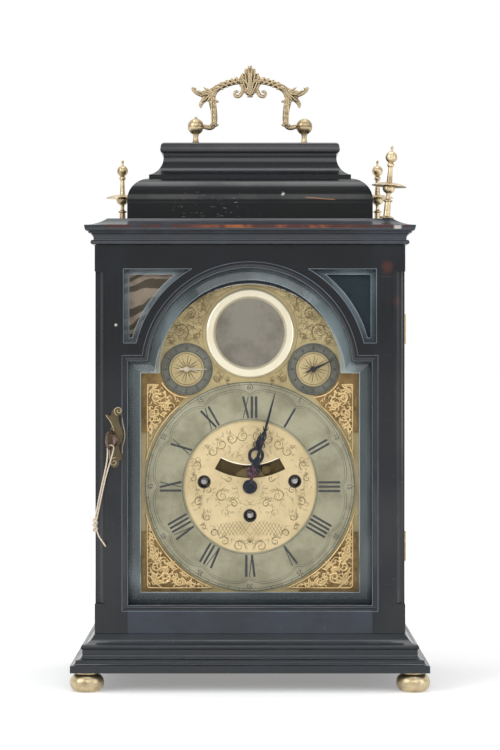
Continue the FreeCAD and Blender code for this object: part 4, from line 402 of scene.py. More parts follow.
def cornice_wear(finish, base):
    """The lip is rubbed through to red-brown wood, brightest right of the middle, with one pale chip."""
    x, _, z = finish.axes()
    broken = finish.noise(110, 4, 0.65)
    lip = finish.within(z, 392.2, 394.9, 0.4)
    rubbed = lip * finish.ease(broken + 0.25 * finish.within(x, -60, 95, 30), 0.46, 0.62)
    bright = finish.within(x, -35, 70, 25) * finish.ease(finish.noise(70, 3), 0.42, 0.6)
    base = finish.mix(rubbed * 0.8, base, (0.085, 0.020, 0.013))
    base = finish.mix(rubbed * bright * 0.85, base, (0.36, 0.11, 0.035))
    chip = finish.within(x, 122, 128, 1) * finish.within(z, 391.4, 394.2, 0.5)
    return finish.mix(chip * 0.8, base, (0.62, 0.58, 0.52))


def caddy_wear(finish, base):
    """White scratches low on the front, a star-shaped nick and a thin orange scratch."""
    x, _, z = finish.axes()
    fine = finish.noise(330, 3, 0.7, (0.4, 1, 2.4))
    marks = finish.ease(fine, 0.62, 0.72) * finish.within(x, -66, -8, 6)
    marks = marks * finish.within(z, 403, 424, 3)
    base = finish.mix(marks * 0.7, base, (0.42, 0.41, 0.39))
    star = finish.reach(x - 28.5, z - 423.5) + 3 * finish.noise(900, 2)
    star = finish.fade(star, 1.6, 3.4)
    base = finish.mix(star, base, (0.7, 0.68, 0.64))
    scratch = finish.line(z - 419.5 + 0.08 * (x - 60), 0.35, 0.25) * finish.within(x, 48, 73, 2)
    return finish.mix(scratch * 0.7, base, (0.45, 0.17, 0.06))


def cap_light_and_wear(finish, base):
    """The moulded edge of the cap is painted paler, for the light it catches, with a red-brown rub along its
    face.
    """
    _, y, z = finish.axes()
    # Painted light: paler from 459.5 mm up.
    base = finish.mix(finish.ease(z, 459.5, 461) * 0.8, base, (0.030, 0.030, 0.034))
    broken = finish.ease(finish.noise(55, 4, 0.6, (1, 1, 6)), 0.46, 0.62)
    rub = broken * finish.within(z, 461, 464.5, 0.8) * finish.fade(y, -60, -50)
    return finish.mix(rub * 0.5, base, (0.13, 0.045, 0.035))


def rail_shade(finish, base):
    """Painted shade: the top rail is made blacker than the bottom one, which keeps a lighter tone for the
    light it catches from below and in front.
    """
    z = finish.axes()[2]
    # Painted shade: darker from 120 mm up.
    return finish.mix(finish.ease(z, 120, 260) * 0.85, base, (0.0065, 0.0068, 0.0072))


def stile_wear(finish, base):
    """Reddish patches on the upper right stile and a pale mark on the left one."""
    x, _, z = finish.axes()
    cloud = finish.noise(60, 4, 0.6)
    for cx, cz, size in ((90, 368, 9), (117, 359, 7), (126, 330, 5)):
        spot = finish.fade(finish.reach(x - cx, z - cz) + 12 * cloud, size, size + 7)
        base = finish.mix(spot * 0.55, base, (0.10, 0.030, 0.018))
    mark = finish.fade(finish.reach(x + 114, z - 310), 0.7, 1.6)
    return finish.mix(mark, base, (0.5, 0.47, 0.42))


def brass(name, tone, dark, roughness=0.3, grime=0.5, scale=1, metallic=1):
    """Old lacquered or gilt brass, darker where it has tarnished, brighter where it is rubbed."""
    finish = Finish(name, Metallic=metallic)
    cloud = finish.noise(70 * scale, 5, 0.62)
    fleck = finish.noise(900 * scale, 3, 0.6)
    share = finish.ease(cloud + 0.25 * fleck, 0.5, 0.85) * grime
    base = finish.mix(share, tone, dark)
    hills = finish.bump(cloud, 0.14, 0.0006, finish.bump(fleck, 0.10, 0.0002))
    dull = roughness + 0.22 * cloud * grime + 0.10 * fleck
    return finish.wear(Base_Color=base, Roughness=dull, Normal=hills)


def cast(name, tone, dark, bright):
    """Gilt casting: brown in the hollows, from dirt and painted shade, and bright on the ridges, from rubbing
    and a painted highlight.
    """
    finish = Finish(name, Metallic=1)
    ridge = Amount(finish, finish.node("NewGeometry").outputs["Pointiness"])
    cloud = finish.noise(120, 4, 0.6)
    # Pointiness paints shade into the hollows and a highlight onto the ridges, over real dirt and rubbing.
    base = finish.mix(finish.ease(ridge + 0.06 * (cloud - 0.5), 0.45, 0.53), dark, tone)
    base = finish.mix(finish.ease(ridge, 0.53, 0.64), base, bright)
    base = finish.mix(finish.ease(cloud, 0.55, 0.8) * 0.35, base, dark)
    pits = finish.bump(finish.noise(1100, 3, 0.6), 0.12, 0.0002)
    return finish.wear(Base_Color=base, Roughness=0.24 + 0.25 * cloud, Normal=pits)


def steel(name, tone, tint, roughness):
    """Blued or bright steel with an uneven temper colour."""
    finish = Finish(name, Metallic=1)
    cloud = finish.noise(120, 3, 0.55)
    base = finish.mix(finish.ease(cloud, 0.38, 0.68), tone, tint)
    fine = finish.bump(finish.noise(700, 2, 0.6), 0.08, 0.0001)
    return finish.wear(Base_Color=base, Roughness=roughness + 0.12 * cloud, Normal=fine)


def blued_finish():
    """Blued hands with purple in the temper. Their pipes and wheels behind the dial stay brass."""
    finish = Finish("blued_steel", Metallic=0.9)
    x, y, z = finish.axes()
    cloud = finish.noise(120, 3, 0.55)
    base = finish.mix(finish.ease(cloud, 0.42, 0.6), (0.022, 0.027, 0.036), (0.048, 0.040, 0.048))
    purple = finish.fade(finish.reach(x, z - HANDS - 12.5), 5, 9)
    purple = purple * finish.ease(finish.noise(260, 2), 0.45, 0.6)
    base = finish.mix(purple * 0.5, base, (0.26, 0.09, 0.14))
    base = finish.mix(finish.ease(y, -62.6, -62.2), base, (0.17, 0.12, 0.05))
    return finish.wear(Base_Color=base, Roughness=0.26 + 0.12 * cloud)


def polar(finish, x, z, at_x, at_z):
    """Distance in mm from a centre and the share of a turn round it."""
    across, up = x - at_x, z - at_z
    return finish.reach(across, up), finish.math("ARCTAN2", across, up) / (2 * math.pi) + 1


def teeth(finish, turn, count):
    """How far a place is from the nearest of evenly spaced rays, from 0 on a ray to 0.5 between two."""
    part = finish.math("FRACT", turn * float(count))
    return 0.5 - finish.math("ABSOLUTE", part - 0.5)


def chapter_finish():
    """Silvered brass gone yellow, with its engraved and waxed minute band."""
    finish = Finish("silvered_chapter")
    x, _, z = finish.axes()
    reach, turn = polar(finish, x, z, 0, HANDS)
    lines = finish.line(reach - 58.2, 0.2) + finish.line(reach - 89.7, 0.3) + finish.line(reach - 87.7, 0.16)
    ray = teeth(finish, turn, 60) * (2 * math.pi / 60)
    minute = finish.line(ray * reach, 0.2) * finish.within(reach, 87.7, 89.7, 0.1)
    arcade = 1 - teeth(finish, turn, 12) * 2
    crown = 84.6 - 5.2 * arcade * arcade * arcade
    bands = finish.line(reach - crown, 0.17) + finish.line(reach - crown + 1.7, 0.12)
    ink = finish.math("MINIMUM", lines + minute + bands, 0.85)
    cloud = finish.noise(45, 5, 0.62)
    silver = finish.mix(finish.ease(cloud, 0.35, 0.7), (0.385, 0.365, 0.25), (0.25, 0.235, 0.15))
    fleck = finish.ease(finish.noise(500, 3, 0.7), 0.62, 0.75)
    silver = finish.mix(fleck * 0.5, silver, (0.10, 0.08, 0.045))
    brushed = finish.noise(600, 2, 0.5)
    return finish.wear(Base_Color=finish.mix(ink, silver, (0.012, 0.011, 0.010)), Metallic=0.3 - 0.28 * ink,
                       Roughness=0.42 + 0.15 * cloud, Normal=finish.bump(brushed - 0.6 * ink, 0.2, 0.0001))


def small_ring_finish():
    """Darker silver with two rings, their ticks and a short bar at each figure."""
    finish = Finish("silvered_small_rings")
    x, _, z = finish.axes()
    reach, turn = polar(finish, finish.math("ABSOLUTE", x), z, SMALL_RING, SUBSIDIARY)
    ray = teeth(finish, turn, 24) * (2 * math.pi / 24)
    ink = finish.line(reach - 15.6, 0.2) + finish.line(reach - 21.7, 0.2) + finish.line(reach - 20.2, 0.15)
    ink = ink + finish.line(ray * reach, 0.2) * finish.within(reach, 20.2, 21.7, 0.1)
    bar = finish.line(teeth(finish, turn, 12) * (2 * math.pi / 12) * reach, 0.4)
    ink = finish.math("MINIMUM", ink + bar * finish.within(reach, 16.6, 19.3, 0.2), 0.9)
    cloud = finish.noise(60, 5, 0.62)
    silver = finish.mix(finish.ease(cloud, 0.35, 0.7), (0.155, 0.155, 0.122), (0.09, 0.09, 0.066))
    return finish.wear(Base_Color=finish.mix(ink, silver, (0.012, 0.011, 0.010)), Metallic=0.3 - 0.28 * ink,
                       Roughness=0.4 + 0.15 * cloud, Normal=finish.bump(cloud - 0.6 * ink, 0.15, 0.0001))


def dial_finish():
    """A gilt brass plate: matted inside the chapter ring, engraved in the arch."""
    finish = Finish("dial_gilt", Metallic=0.2)
    x, _, z = finish.axes()
    inside = finish.fade(finish.reach(x, z - HANDS), 56, 57.5)
    matting = finish.noise(1500, 2, 0.7)
    cloud = finish.noise(32, 4, 0.6)
    centre = finish.mix(finish.ease(cloud, 0.35, 0.7), (0.76, 0.61, 0.35), (0.60, 0.47, 0.25))
    centre = finish.mix(finish.ease(matting, 0.5, 0.72) * 0.3, centre, (0.50, 0.37, 0.18))
    outside = finish.mix(finish.ease(cloud, 0.35, 0.7), (0.52, 0.42, 0.205), (0.36, 0.28, 0.13))
    outside = finish.mix(finish.ease(matting, 0.5, 0.72) * 0.3, outside, (0.22, 0.17, 0.09))
    near = finish.reach(finish.math("ABSOLUTE", x) - SMALL_RING, z - SUBSIDIARY)
    rosette = finish.fade(near, 14.5, 15.2)
    base = finish.mix(finish.math("MAXIMUM", inside, rosette * 0.3), outside, centre)
    hills = finish.bump(matting, 0.3, 0.0002)
    return finish.wear(Base_Color=base, Roughness=0.36 + 0.2 * matting, Normal=hills)


def glass(name, tint, at_rest, bevel_reflection_tint=None, edge=0, streak=0):
    """Old plate glass: clear face on and more mirror-like at a slant, with a painted reflection on its
    bevels: teal in streaks, darker low on the door glass.
    """
    finish = Finish(name, IOR=1.5)
    away = Amount(finish, finish.node("LayerWeight", None, Blend=0.5).outputs["Facing"])
    slant = away * away * away
    bevel = 0
    if bevel_reflection_tint:
        facing = finish.node("SeparateXYZ", None, _0=finish.node("NewGeometry").outputs["Normal"]).outputs[1]
        bevel = finish.fade(finish.math("ABSOLUTE", Amount(finish, facing)), 0.9925, 0.9985)
        # Painted reflection on the bevels: a teal tint in streaks, darker towards the bottom of the door
        # glass.
        shade = finish.ease(finish.noise(16, 3, 0.6, (1, 1, 0.35)), 0.38, 0.62)
        side = finish.mix(shade, bevel_reflection_tint, shaded(bevel_reflection_tint, 0.35))
        side = finish.mix(finish.ease(finish.axes()[2], 74, 96, 0.95, 0), side, (0.030, 0.042, 0.050))
        base = finish.mix(bevel, tint, side)
        bevel = bevel * edge
    else:
        base = colour(tint)
    haze = finish.ease(finish.noise(9, 3, 0.6), 0.5, 0.8) * streak
    alpha = finish.math("MINIMUM", slant * 0.5 + (at_rest + bevel + haze), 1)
    return finish.wear(Base_Color=base, Roughness=0.04 + 0.05 * slant, Alpha=alpha)


def lining_finish():
    """Worn cloth or paper behind the corner panes: a generic pattern on the left, plain on the right."""
    finish = Finish("aged_lining", Roughness=0.8, Specular_IOR_Level=0.2)
    left = finish.fade(finish.axes()[0], -2, 2)
    swirl = finish.node("TexWave", {"wave_type": "RINGS", "rings_direction": "Y"}, Vector=finish.place,
                        Scale=24, Distortion=11, Detail=1.5, Detail_Scale=1.2).outputs["Fac"]
    cloud = finish.noise(90, 5, 0.65)
    pattern = finish.ease(Amount(finish, swirl) + 0.5 * (cloud - 0.5), 0.42, 0.6)
    figured = finish.mix(pattern, (0.085, 0.070, 0.045), (0.34, 0.27, 0.20))
    figured = finish.mix(finish.ease(finish.noise(40, 3), 0.45, 0.6) * 0.6, figured, (0.13, 0.085, 0.07))
    plain = finish.mix(cloud, (0.020, 0.031, 0.040), (0.028, 0.041, 0.050))
    return finish.wear(Base_Color=finish.mix(left, plain, figured), Normal=finish.bump(pattern, 0.2, 0.0002))


def twine_finish():
    """Cotton string: two plies wound round each other, with painted shade in the grooves between them."""
    finish = Finish("cotton_string", Roughness=0.85, Specular_IOR_Level=0.2)
    x, y, z = finish.axes()
    ply = finish.math("FRACT", (z + 0.9 * (x - 1.2 * y)) / 1.3)
    ridge = 1 - 2 * finish.math("ABSOLUTE", ply - 0.5)
    fibre = finish.noise(2600, 3, 0.6)
    # Painted shade: grey in the grooves between the plies, cream on their ridges.
    shade = finish.ease(ridge + 0.3 * fibre, 0.25, 0.8)
    base = finish.mix(shade, (0.36, 0.28, 0.21), (0.86, 0.74, 0.60))
    return finish.wear(Base_Color=base, Normal=finish.bump(ridge + 0.4 * fibre, 0.5, 0.0003))


def board_finish():
    """Plain oak inside the case."""
    finish = Finish("inner_oak", Roughness=0.6)
    grain = finish.noise(30, 6, 0.6, (1, 12, 12))
    return finish.wear(Base_Color=finish.mix(grain, (0.13, 0.075, 0.036), (0.24, 0.15, 0.075)),
                       Normal=finish.bump(grain, 0.2, 0.0004))


def mottled(name, clouds, first, second, **constants):
    """Two colours in clouds, for small marks and edges."""
    finish = Finish(name, **constants)
    return finish.wear(Base_Color=finish.mix(finish.noise(*clouds), first, second))


# One ebonised wood in lit and shaded copies: each part's tone is painted with the light or shade it takes,
# lighter on the cornice, rails and level faces, darker on the uprights, cap, mouldings and caddy front.
rail_wood = ebonised("ebonised_rails", "x", (0.026, 0.030, 0.040), rail_shade, 0.4)
upright_wood = ebonised("ebonised_upright", "z", (0.0090, 0.0105, 0.0130), stile_wear, 0.5)
level_wood = ebonised("ebonised_level", "x", (0.019, 0.0225, 0.0265), None, 0.5)
moulding_wood = ebonised("ebonised_moulding", "z", (0.0075, 0.009, 0.012), None, 0.9)
cornice_wood = ebonised("ebonised_cornice", "x", (0.030, 0.034, 0.041), cornice_wear, 0.5)
caddy_wood = ebonised("ebonised_caddy", "x", (0.0025, 0.0030, 0.0038), caddy_wear, 0.4)
cap_wood = ebonised("ebonised_cap", "x", (0.0085, 0.0102, 0.0125), cap_light_and_wear, 0.45)
cast_brass = brass("cast_brass", (0.64, 0.53, 0.34), (0.22, 0.15, 0.07), 0.24, 0.85)
handle_gilt = cast("handle_gilt", (0.44, 0.35, 0.22), (0.075, 0.048, 0.02), (0.95, 0.84, 0.64))
foliage_gilt = cast("foliage_gilt", (0.70, 0.52, 0.26), (0.22, 0.125, 0.045), (1, 0.85, 0.56))
# Painted shade: the ground of the corner mounts is much darker than the foliage laid on it, for the shadow
# between the leaves.
shaded_mount_gilt = brass("shaded_mount_gilt", (0.26, 0.17, 0.07), (0.10, 0.06, 0.025), 0.36, 0.8, 1.6)
hinge_metal = brass("hinge_brass", (0.50, 0.40, 0.20), (0.16, 0.11, 0.05), 0.34, 0.7)
lock_metal = brass("lock_brass", (0.125, 0.10, 0.058), (0.055, 0.04, 0.024), 0.36, 0.8)
bezel_gilt = brass("bezel_gilt", (1, 0.93, 0.72), (0.84, 0.68, 0.40), 0.14, 0.3, 0.5, 0.6)
plate_metal = brass("movement_brass", (0.74, 0.56, 0.26), (0.46, 0.31, 0.12), 0.24, 0.5)
bell_alloy = brass("bell_metal", (0.52, 0.46, 0.30), (0.28, 0.22, 0.12), 0.22, 0.5)
boss_silver = brass("boss_silver", (0.235, 0.215, 0.175), (0.135, 0.12, 0.095), 0.34, 0.8, 0.6, 0.4)
iron_metal = steel("worn_iron", (0.11, 0.075, 0.07), (0.19, 0.13, 0.11), 0.36)
arbor_steel = steel("arbor_steel", (0.42, 0.42, 0.43), (0.30, 0.29, 0.28), 0.24)
bright_steel = steel("bright_pointer", (0.62, 0.56, 0.42), (0.42, 0.36, 0.26), 0.25)
dark_steel = steel("tarnished_steel", (0.10, 0.08, 0.05), (0.16, 0.12, 0.06), 0.4)
# Painted shade: the front plate and minute wheel, seen through the slot, are darkened for the shadow they sit
# in behind the dial.
shadowed_plate = brass("plate_painted_shade", (0.17, 0.12, 0.05), (0.08, 0.055, 0.025), 0.42, 0.8)
blued = blued_finish()
chapter_silver = chapter_finish()
ring_silver = small_ring_finish()
dial_gilt = dial_finish()
# The bevel tints of the door and corner glass are painted reflections.
front_glass = glass("front_glass", (0.10, 0.13, 0.14), 0.015, (0.34, 0.43, 0.45), 0.55, 0.01)
corner_glass = glass("corner_glass", (0.03, 0.055, 0.065), 0.05, (0.30, 0.38, 0.42), 0.5, 0.02)
window_glass = glass("window_glass", (0.10, 0.13, 0.13), 0.06, None, 0, 0.03)
lining = lining_finish()
string_cotton = twine_finish()
oak = board_finish()
wax_black = mottled("engraving_wax", (300, 3), (0.022, 0.025, 0.030), (0.060, 0.063, 0.068), Roughness=0.5)
rubbed_brass = brass("rubbed_brass", (0.50, 0.42, 0.27), (0.22, 0.17, 0.09), 0.3, 0.6)
# Painted highlights: pale blue-grey strokes along the door's mouldings and arrises, for the light those edges
# catch.
edge_highlight = ebonised("painted_edge_highlight", "z", (0.12, 0.145, 0.17), None, 0.6)
# Painted highlights: bright strokes along the glass bevels, for the light their edges catch.
arris_highlight = mottled("glass_arris_highlight", (45, 4, 0.6), (0.16, 0.24, 0.27), (0.62, 0.70, 0.72), Roughness=0.12)
cut_brown = mottled("graver_cuts", (260, 4), (0.075, 0.05, 0.02), (0.30, 0.215, 0.10), Roughness=0.55,
                    Metallic=0.3)

FINISHES = {
    level_wood: ["plinth", "back_door_frame", "dial_mask"],
    rail_wood: ["door_rails"],
    moulding_wood: ["door_moulding"],
    upright_wood: ["side_frames", "door_stiles"],
    cornice_wood: ["cornice"],
    caddy_wood: ["caddy_lower"],
    cap_wood: ["caddy_upper"],
    oak: ["bottom_board", "seat_board"],
    shaded_mount_gilt: ["corner_mounts"],
    cast_brass: ["bun_feet", "finials", "handle_posts"],
    bezel_gilt: ["boss_bezel"],
    hinge_metal: ["case_hinges", "door_hinges", "back_door_hinges", "back_door_catch"],
    lock_metal: ["escutcheon", "lock_case"],
    window_glass: ["side_glasses", "back_door_glass"],
    front_glass: ["door_glass"],
    corner_glass: ["corner_glasses"],
    lining: ["corner_linings"],
    iron_metal: ["lock_bolt", "key"],
    dial_gilt: ["dial_plate"],
    chapter_silver: ["chapter_ring"],
    ring_silver: ["subsidiary_rings"],
    boss_silver: ["boss_disc"],
    blued: ["right_pointer"],
    bright_steel: ["left_pointer"],
    dark_steel: ["pallet_arbor"],
    # Painted shade behind the dial.
    shadowed_plate: ["front_plate", "minute_wheel"],
    plate_metal: ["going_barrel", "centre_wheel", "third_wheel", "escape_wheel", "strike_barrel",
                  "strike_wheel", "quarter_barrel", "quarter_wheel", "back_plate", "movement_posts",
                  "pendulum"],
    arbor_steel: ["going_arbor", "strike_arbor", "quarter_arbor"],
    bell_alloy: ["bells"],
}
for finish, names in FINISHES.items():
    for name in names:
        worn_by(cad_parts[name], finish)

# ---------------------------------------------------------------- the string on the key

short_strand = string_strand("string_short_strand", SHORT_ROUTE)
long_strand = string_strand("string_long_strand", LONG_ROUTE)


def knot():
    """Five wraps round both strands, pulled tight."""
    loops = []
    wraps = ((4.4, 0.5, -0.3), (2.2, -0.5, 0.5), (0.2, 0.7, -0.4), (-2.1, -0.3, 0.6), (-4.2, 0.6, -0.2))
    for rise, tilt, lean in wraps:
        place = (-0.130954 + lean * MM, STRING_DEPTH, 0.1407 + rise * MM)
        loops.append(torus(1.4, 0.85, (24, 10), place, (tilt, lean, 0)))
    whole = joined("string_knot_wraps", loops)
    finished(whole, "REMESH", mode="VOXEL", voxel_size=0.18 * MM)
    return smooth(finished(whole, "SMOOTH", factor=0.4, iterations=1), 60)


knot_wraps = knot()
strings = {"string_left": short_strand, "string_right": long_strand, "string_knot": knot_wraps}
for node, piece in strings.items():
    kept(piece, string_cotton, "string", "twine", node)

# ---------------------------------------------------------------- floor, backdrop and lamps

def stage_plane(name, size):
    pick_none()
    bpy.ops.mesh.primitive_plane_add(size=size)
    plane = bpy.context.object
    plane.name = name
    return plane


def paper(name, glow):
    """White paper: it takes the clock's shadow, and the camera and the brass see it white."""
    finish = Finish(name, Roughness=0.9, Specular_IOR_Level=0)
    ray = finish.node("LightPath").outputs
    seen = Amount(finish, ray["Is Camera Ray"]) + Amount(finish, ray["Is Glossy Ray"])
    seen = finish.math("MINIMUM", seen + Amount(finish, ray["Is Transmission Ray"]), 1)
    finish.shader.inputs["Base Color"].default_value = (0.86, 0.86, 0.86, 1)
    x, y, _ = finish.axes()
    away = finish.ease(finish.reach(x, y), 220, 1200)
    finish.feed(finish.shader.inputs["Emission Color"], finish.mix(away, (glow, glow, glow), (0.6, 0.6, 0.6)))
    return finish.wear(Emission_Strength=seen)


def open_sky():
    """A pale room: white where it is looked at, darker towards the camera's side as a reflection."""
    world = bpy.data.worlds.new("pale_room")
    world.use_nodes = True
    bpy.context.scene.world = world
    sky = Nodes(world.node_tree)
    ray = sky.node("LightPath").outputs
    way = sky.node("SeparateXYZ", None, _0=sky.node("TexCoord").outputs["Generated"]).outputs
    ahead = sky.ease(Amount(sky, way[1]), -0.3, 0.6, 0.40, 1)
    around = ahead + sky.ease(Amount(sky, way[2]), 0.4, 0.95, 0, 0.4)
    seen = sky.math("MAXIMUM", Amount(sky, ray["Is Camera Ray"]), Amount(sky, ray["Is Transmission Ray"]))
    level = 0.5 + 0.5 * seen + Amount(sky, ray["Is Glossy Ray"]) * (around - 0.5) * (1 - seen)
    sky.feed(sky.tree.nodes["Background"].inputs["Strength"], level)
    sky.tree.nodes["Background"].inputs["Color"].default_value = (1, 1, 1, 1)


def lamp(name, place, aim, size, power, tint=(1, 1, 1)):
    light = bpy.data.lights.new(name, "AREA")
    light.shape = "RECTANGLE"
    light.size, light.size_y = size
    light.energy = power
    light.color = tint
    stand = linked(name, light)
    stand.location = place
    stand.rotation_euler = (Vector(aim) - Vector(place)).to_track_quat("-Z", "Y").to_euler()


worn_by(stage_plane("floor", 160), paper("floor_paper", 0.28))
open_sky()
lamp("window_left", (-2, -1.7, 1.5), (0, 0, 0.25), (1.2, 1.8), 34, (0.96, 0.98, 1))
lamp("fill_right", (2.2, -1.2, 0.9), (0, 0, 0.25), (0.8, 1.8), 12)
lamp("front_soft", (0.4, -2.7, 1.5), (0, 0, 0.25), (2, 1.2), 22)
lamp("overhead", (0, 0.1, 2.2), (0, 0, 0.3), (1.4, 1), 14)

# ---------------------------------------------------------------- ornament

def around(x, z, reach, degrees):
    """The place at a distance from another, clockwise from upright."""
    angle = math.radians(degrees)
    return x + reach * math.sin(angle), z + reach * math.cos(angle)


def spiral(x, z, radius, start, turns, thick):
    """A scroll that winds inwards, clockwise where turns is positive, from a start angle in degrees."""
    count = max(5, int(abs(turns) * 9))
    points = [around(x, z, radius * (1 - 0.82 * (i / count)), start + 360 * turns * (i / count))
              for i in range(count + 1)]
    return points, [thick, thick, 0.7 * thick]


def ring(x, z, radius, thick, steps=18):
    return [around(x, z, radius, 360 * i / steps) for i in range(steps + 2)], [thick, thick]


def arc(x, z, radius, start, end, thick, steps):
    points = [around(x, z, radius, start + (end - start) * i / steps) for i in range(steps + 1)]
    return points, [thick, thick]


def frond(x, z, heading, length, bend, thick):
    """A leaf stroke from a place, heading clockwise from upright and bending along its length."""
    points = [(x, z)]
    for i in range(4):
        points.append(around(*points[-1], length / 4, heading + bend * (i + 0.5) / 4))
    return points, [0.55 * thick, thick, 0.9 * thick, 0.3 * thick]


def plume(x, z, heading, spread, count, length, bend, thick):
    """A fan of leaf strokes, the middle one longest."""
    strokes = []
    for i in range(count):
        side = 2 * i / (count - 1) - 1
        reach = length * (1 - 0.3 * abs(side))
        strokes.append(frond(x, z, heading + spread * side, reach, bend * side, thick))
    return strokes


def handle_half():
    """The right half of the handle: arm, horn, lobe, leg and inner curl, and the leaves that lie on them."""
    arm = [(3.5, 38.5), (8, 41), (15, 39.6), (24, 37), (31, 33.4), (34.8, 27), (32.6, 18),
           (31.4, 9), (31.6, 2.5), (34.2, -1.2), (38, -0.8), (41.2, 0.4)]
    strokes = [
        (arm, [2.4, 2.7, 2.8, 2.8, 3.4, 3.6, 3.1, 2.8, 2.7, 2.6, 2.3, 2]),
        ([(29, 34), (35, 30.2), (41, 28.4), (46.5, 29.4), (50.2, 32.2), (51.4, 35)],
         [3, 3.4, 2.7, 2.2, 1.7, 1.3]),
        ([(34, 28), (39.5, 25.5), (43, 21.5), (44.4, 18.4), (42.8, 17.2)], [3.2, 2.8, 2.1, 1.6, 1.2]),
        ([(5, 39.5), (5.4, 34.5), (7.2, 29), (10.2, 26.4), (13.4, 27), (14.2, 30.2), (12, 32),
          (10.4, 30.4)], [1.7, 1.9, 1.9, 1.7, 1.5, 1.4, 1.3, 1.2]),
        ([(34, 21.5), (31, 23), (27.6, 22.2)], [1.9, 1.5, 0.8]),
        ([(33.5, 2), (30, 0.6), (27.8, 2)], [2.2, 1.5, 0.7]),
        ([(50.6, 31), (49, 34.4), (47.4, 34.6)], [1.2, 0.9, 0.5]),
    ]
    leaves = []
    for x, z, heading in ((8, 40.8, 66), (12, 40.6, 72), (16, 39.8, 78), (20, 38.8, 84),
                          (24, 37.4, 90), (28, 35.4, 98)):
        leaves += [frond(x - 4.5, z - 2.2, heading - 44, 8.6, 60, 1.15),
                   frond(x - 3, z - 0.4, heading + 10, 6.8, 34, 1),
                   frond(x - 2, z + 0.6, heading + 58, 5, -40, 0.95)]
        strokes.append(frond(x - 2.5, z, heading - 50, 5.6, 50, 1.1))
    for z in (23, 18, 13, 8, 3.5):
        leaves += [frond(34.2, z + 3, 196, 6.8, -34, 1), frond(32.2, z + 3.5, 180, 6, 0, 0.9),
                   frond(30.6, z + 3, 164, 6.8, 34, 0.9)]
    for heading in (72, 90, 110, 132, 150):
        leaves.append(frond(32, 30.5, heading, 10.5, -14, 1.2))
    for x, z, heading in ((39, 29, 84), (43.5, 29, 66), (40, 26, 140)):
        leaves.append(frond(x - 2, z, heading, 6.4, -24, 1))
    strokes += [([(33, 31), (38, 29), (44, 28.6)], [3.4, 3.2, 2.4]),
                ([(35, 27.5), (39, 26), (41.5, 24)], [3, 2.8, 2.2]),
                ([(1, 29), (2.2, 38), (3.6, 46), (3.6, 51.6)], [1.6, 2, 2.2, 1.2]),
                ([(1.6, 29), (4, 36), (6.2, 42.5), (7, 47.4)], [1.6, 2.1, 2.2, 1.2]),
                ([(2, 29), (5.6, 34), (8.8, 38.8), (10.2, 43)], [1.6, 2.1, 2.1, 1.1])]
    leaves += [([(1.4, 29), (2.6, 38), (4.6, 46.4), (4.9, 50.6)], [0.5, 0.7, 0.8, 0.5]),
               ([(2, 29), (4.8, 36), (7.4, 42), (8.6, 45.6)], [0.5, 0.7, 0.8, 0.5]),
               ([(0.7, 28), (1, 38), (1.6, 46), (1.8, 52.6)], [0.5, 0.7, 0.8, 0.5])]
    return strokes, leaves


half, half_leaves = handle_half()
middle = [([(0, 26.6), (0, 34), (0, 44), (0, 54.2)], [2.2, 2, 2.3, 1.9]),
          ([(-2.6, 27.2), (0, 26.9), (2.6, 27.2)], [1.1, 1.3, 1.1])]
body_strokes = raised(both_sides(half) + middle, BALL)
leaf_strokes = raised(both_sides(half_leaves) + [frond(0, 28, 0, 24, 0, 1)], BALL)
handle = joined("scrolled_handle", [
    tracery("handle_core", body_strokes, 0, 0.78),
    tracery("front_leaves", leaf_strokes, -2.2, 0.9, 1, 4),
    tracery("back_leaves", leaf_strokes, 2.2, 0.9, 1, 4),
])
kept(casting(handle, 0.36, 1), handle_gilt, "carrying_handle", "cast_brass", "carrying_handle")


def scattered(seed, count, box, inside, length, thick):
    """Small curled leaves thrown over a field."""
    chance = random.Random(seed)
    strokes = []
    while len(strokes) < count:
        x, z = chance.uniform(box[0], box[1]), chance.uniform(box[2], box[3])
        bend = chance.choice((-1, 1)) * chance.uniform(60, 170)
        leaf = frond(x, z, chance.uniform(0, 360), chance.uniform(0.7, 1.3) * length, bend, thick)
        if all(inside(*point) for point in leaf[0]):
            strokes.append(leaf)
    return strokes


def in_lower_corner(x, z):
    return 33 < x < 87.6 and 85 < z < 146 and math.hypot(x, z - HANDS) > CORNER_REACH + 1


def in_upper_corner(x, z):
    clear = math.hypot(x - SMALL_RING, z - SUBSIDIARY) > 25 and math.hypot(x, z - HANDS) > CORNER_REACH + 1
    return clear and 60 < x < 87.6 and 196 < z < 258.4


def lower_mount():
    """The foliage of the lower right corner."""
    strokes = [
        ([(32, 84.4), (60, 84.2), (88.4, 84.2), (88.4, 84.3), (88.4, 112), (88.4, 146)],
         [0.5, 0.7, 0.7, 0.5]),
        arc(0, HANDS, CORNER_REACH, 104.5, 159, 0.75, 16),
        spiral(73, 93.4, 6.2, 120, 1.3, 1), spiral(81, 103, 5.4, -30, -1.3, 1),
        spiral(60.5, 89.6, 4.4, 100, 1.2, 0.9), spiral(84.2, 117, 3.6, -20, -1.2, 0.9),
        spiral(49.5, 87.3, 2.8, 90, 1.1, 0.7), spiral(85.8, 128.5, 2.5, -10, -1.1, 0.7),
    ]
    strokes += plume(82.5, 88.5, -45, 62, 7, 13, 40, 0.95)
    strokes += plume(69, 103, -45, 70, 7, 7.5, 50, 0.8)
    strokes += plume(70.5, 101.5, 135, 55, 5, 8.5, -30, 0.8)
    for share in range(9):
        x = 66 - 3.6 * share
        strokes.append(frond(x, 85.2, 300 + 3 * share, 7.2 - 0.55 * share, 60, 0.75 - 0.03 * share))
        strokes.append(frond(x + 1.5, 91.5 - 0.7 * share, 262, 5.6 - 0.4 * share, -50, 0.65))
        z = 109 + 3.7 * share
        strokes.append(frond(87.4, z, -30 - 3 * share, 7 - 0.5 * share, 30, 0.75 - 0.03 * share))
        strokes.append(frond(82 + 0.6 * share, z - 1.5, 8, 5.6 - 0.4 * share, 45, 0.65))
    return strokes + scattered(3, 150, (33, 87.6, 85, 146), in_lower_corner, 5, 0.62)


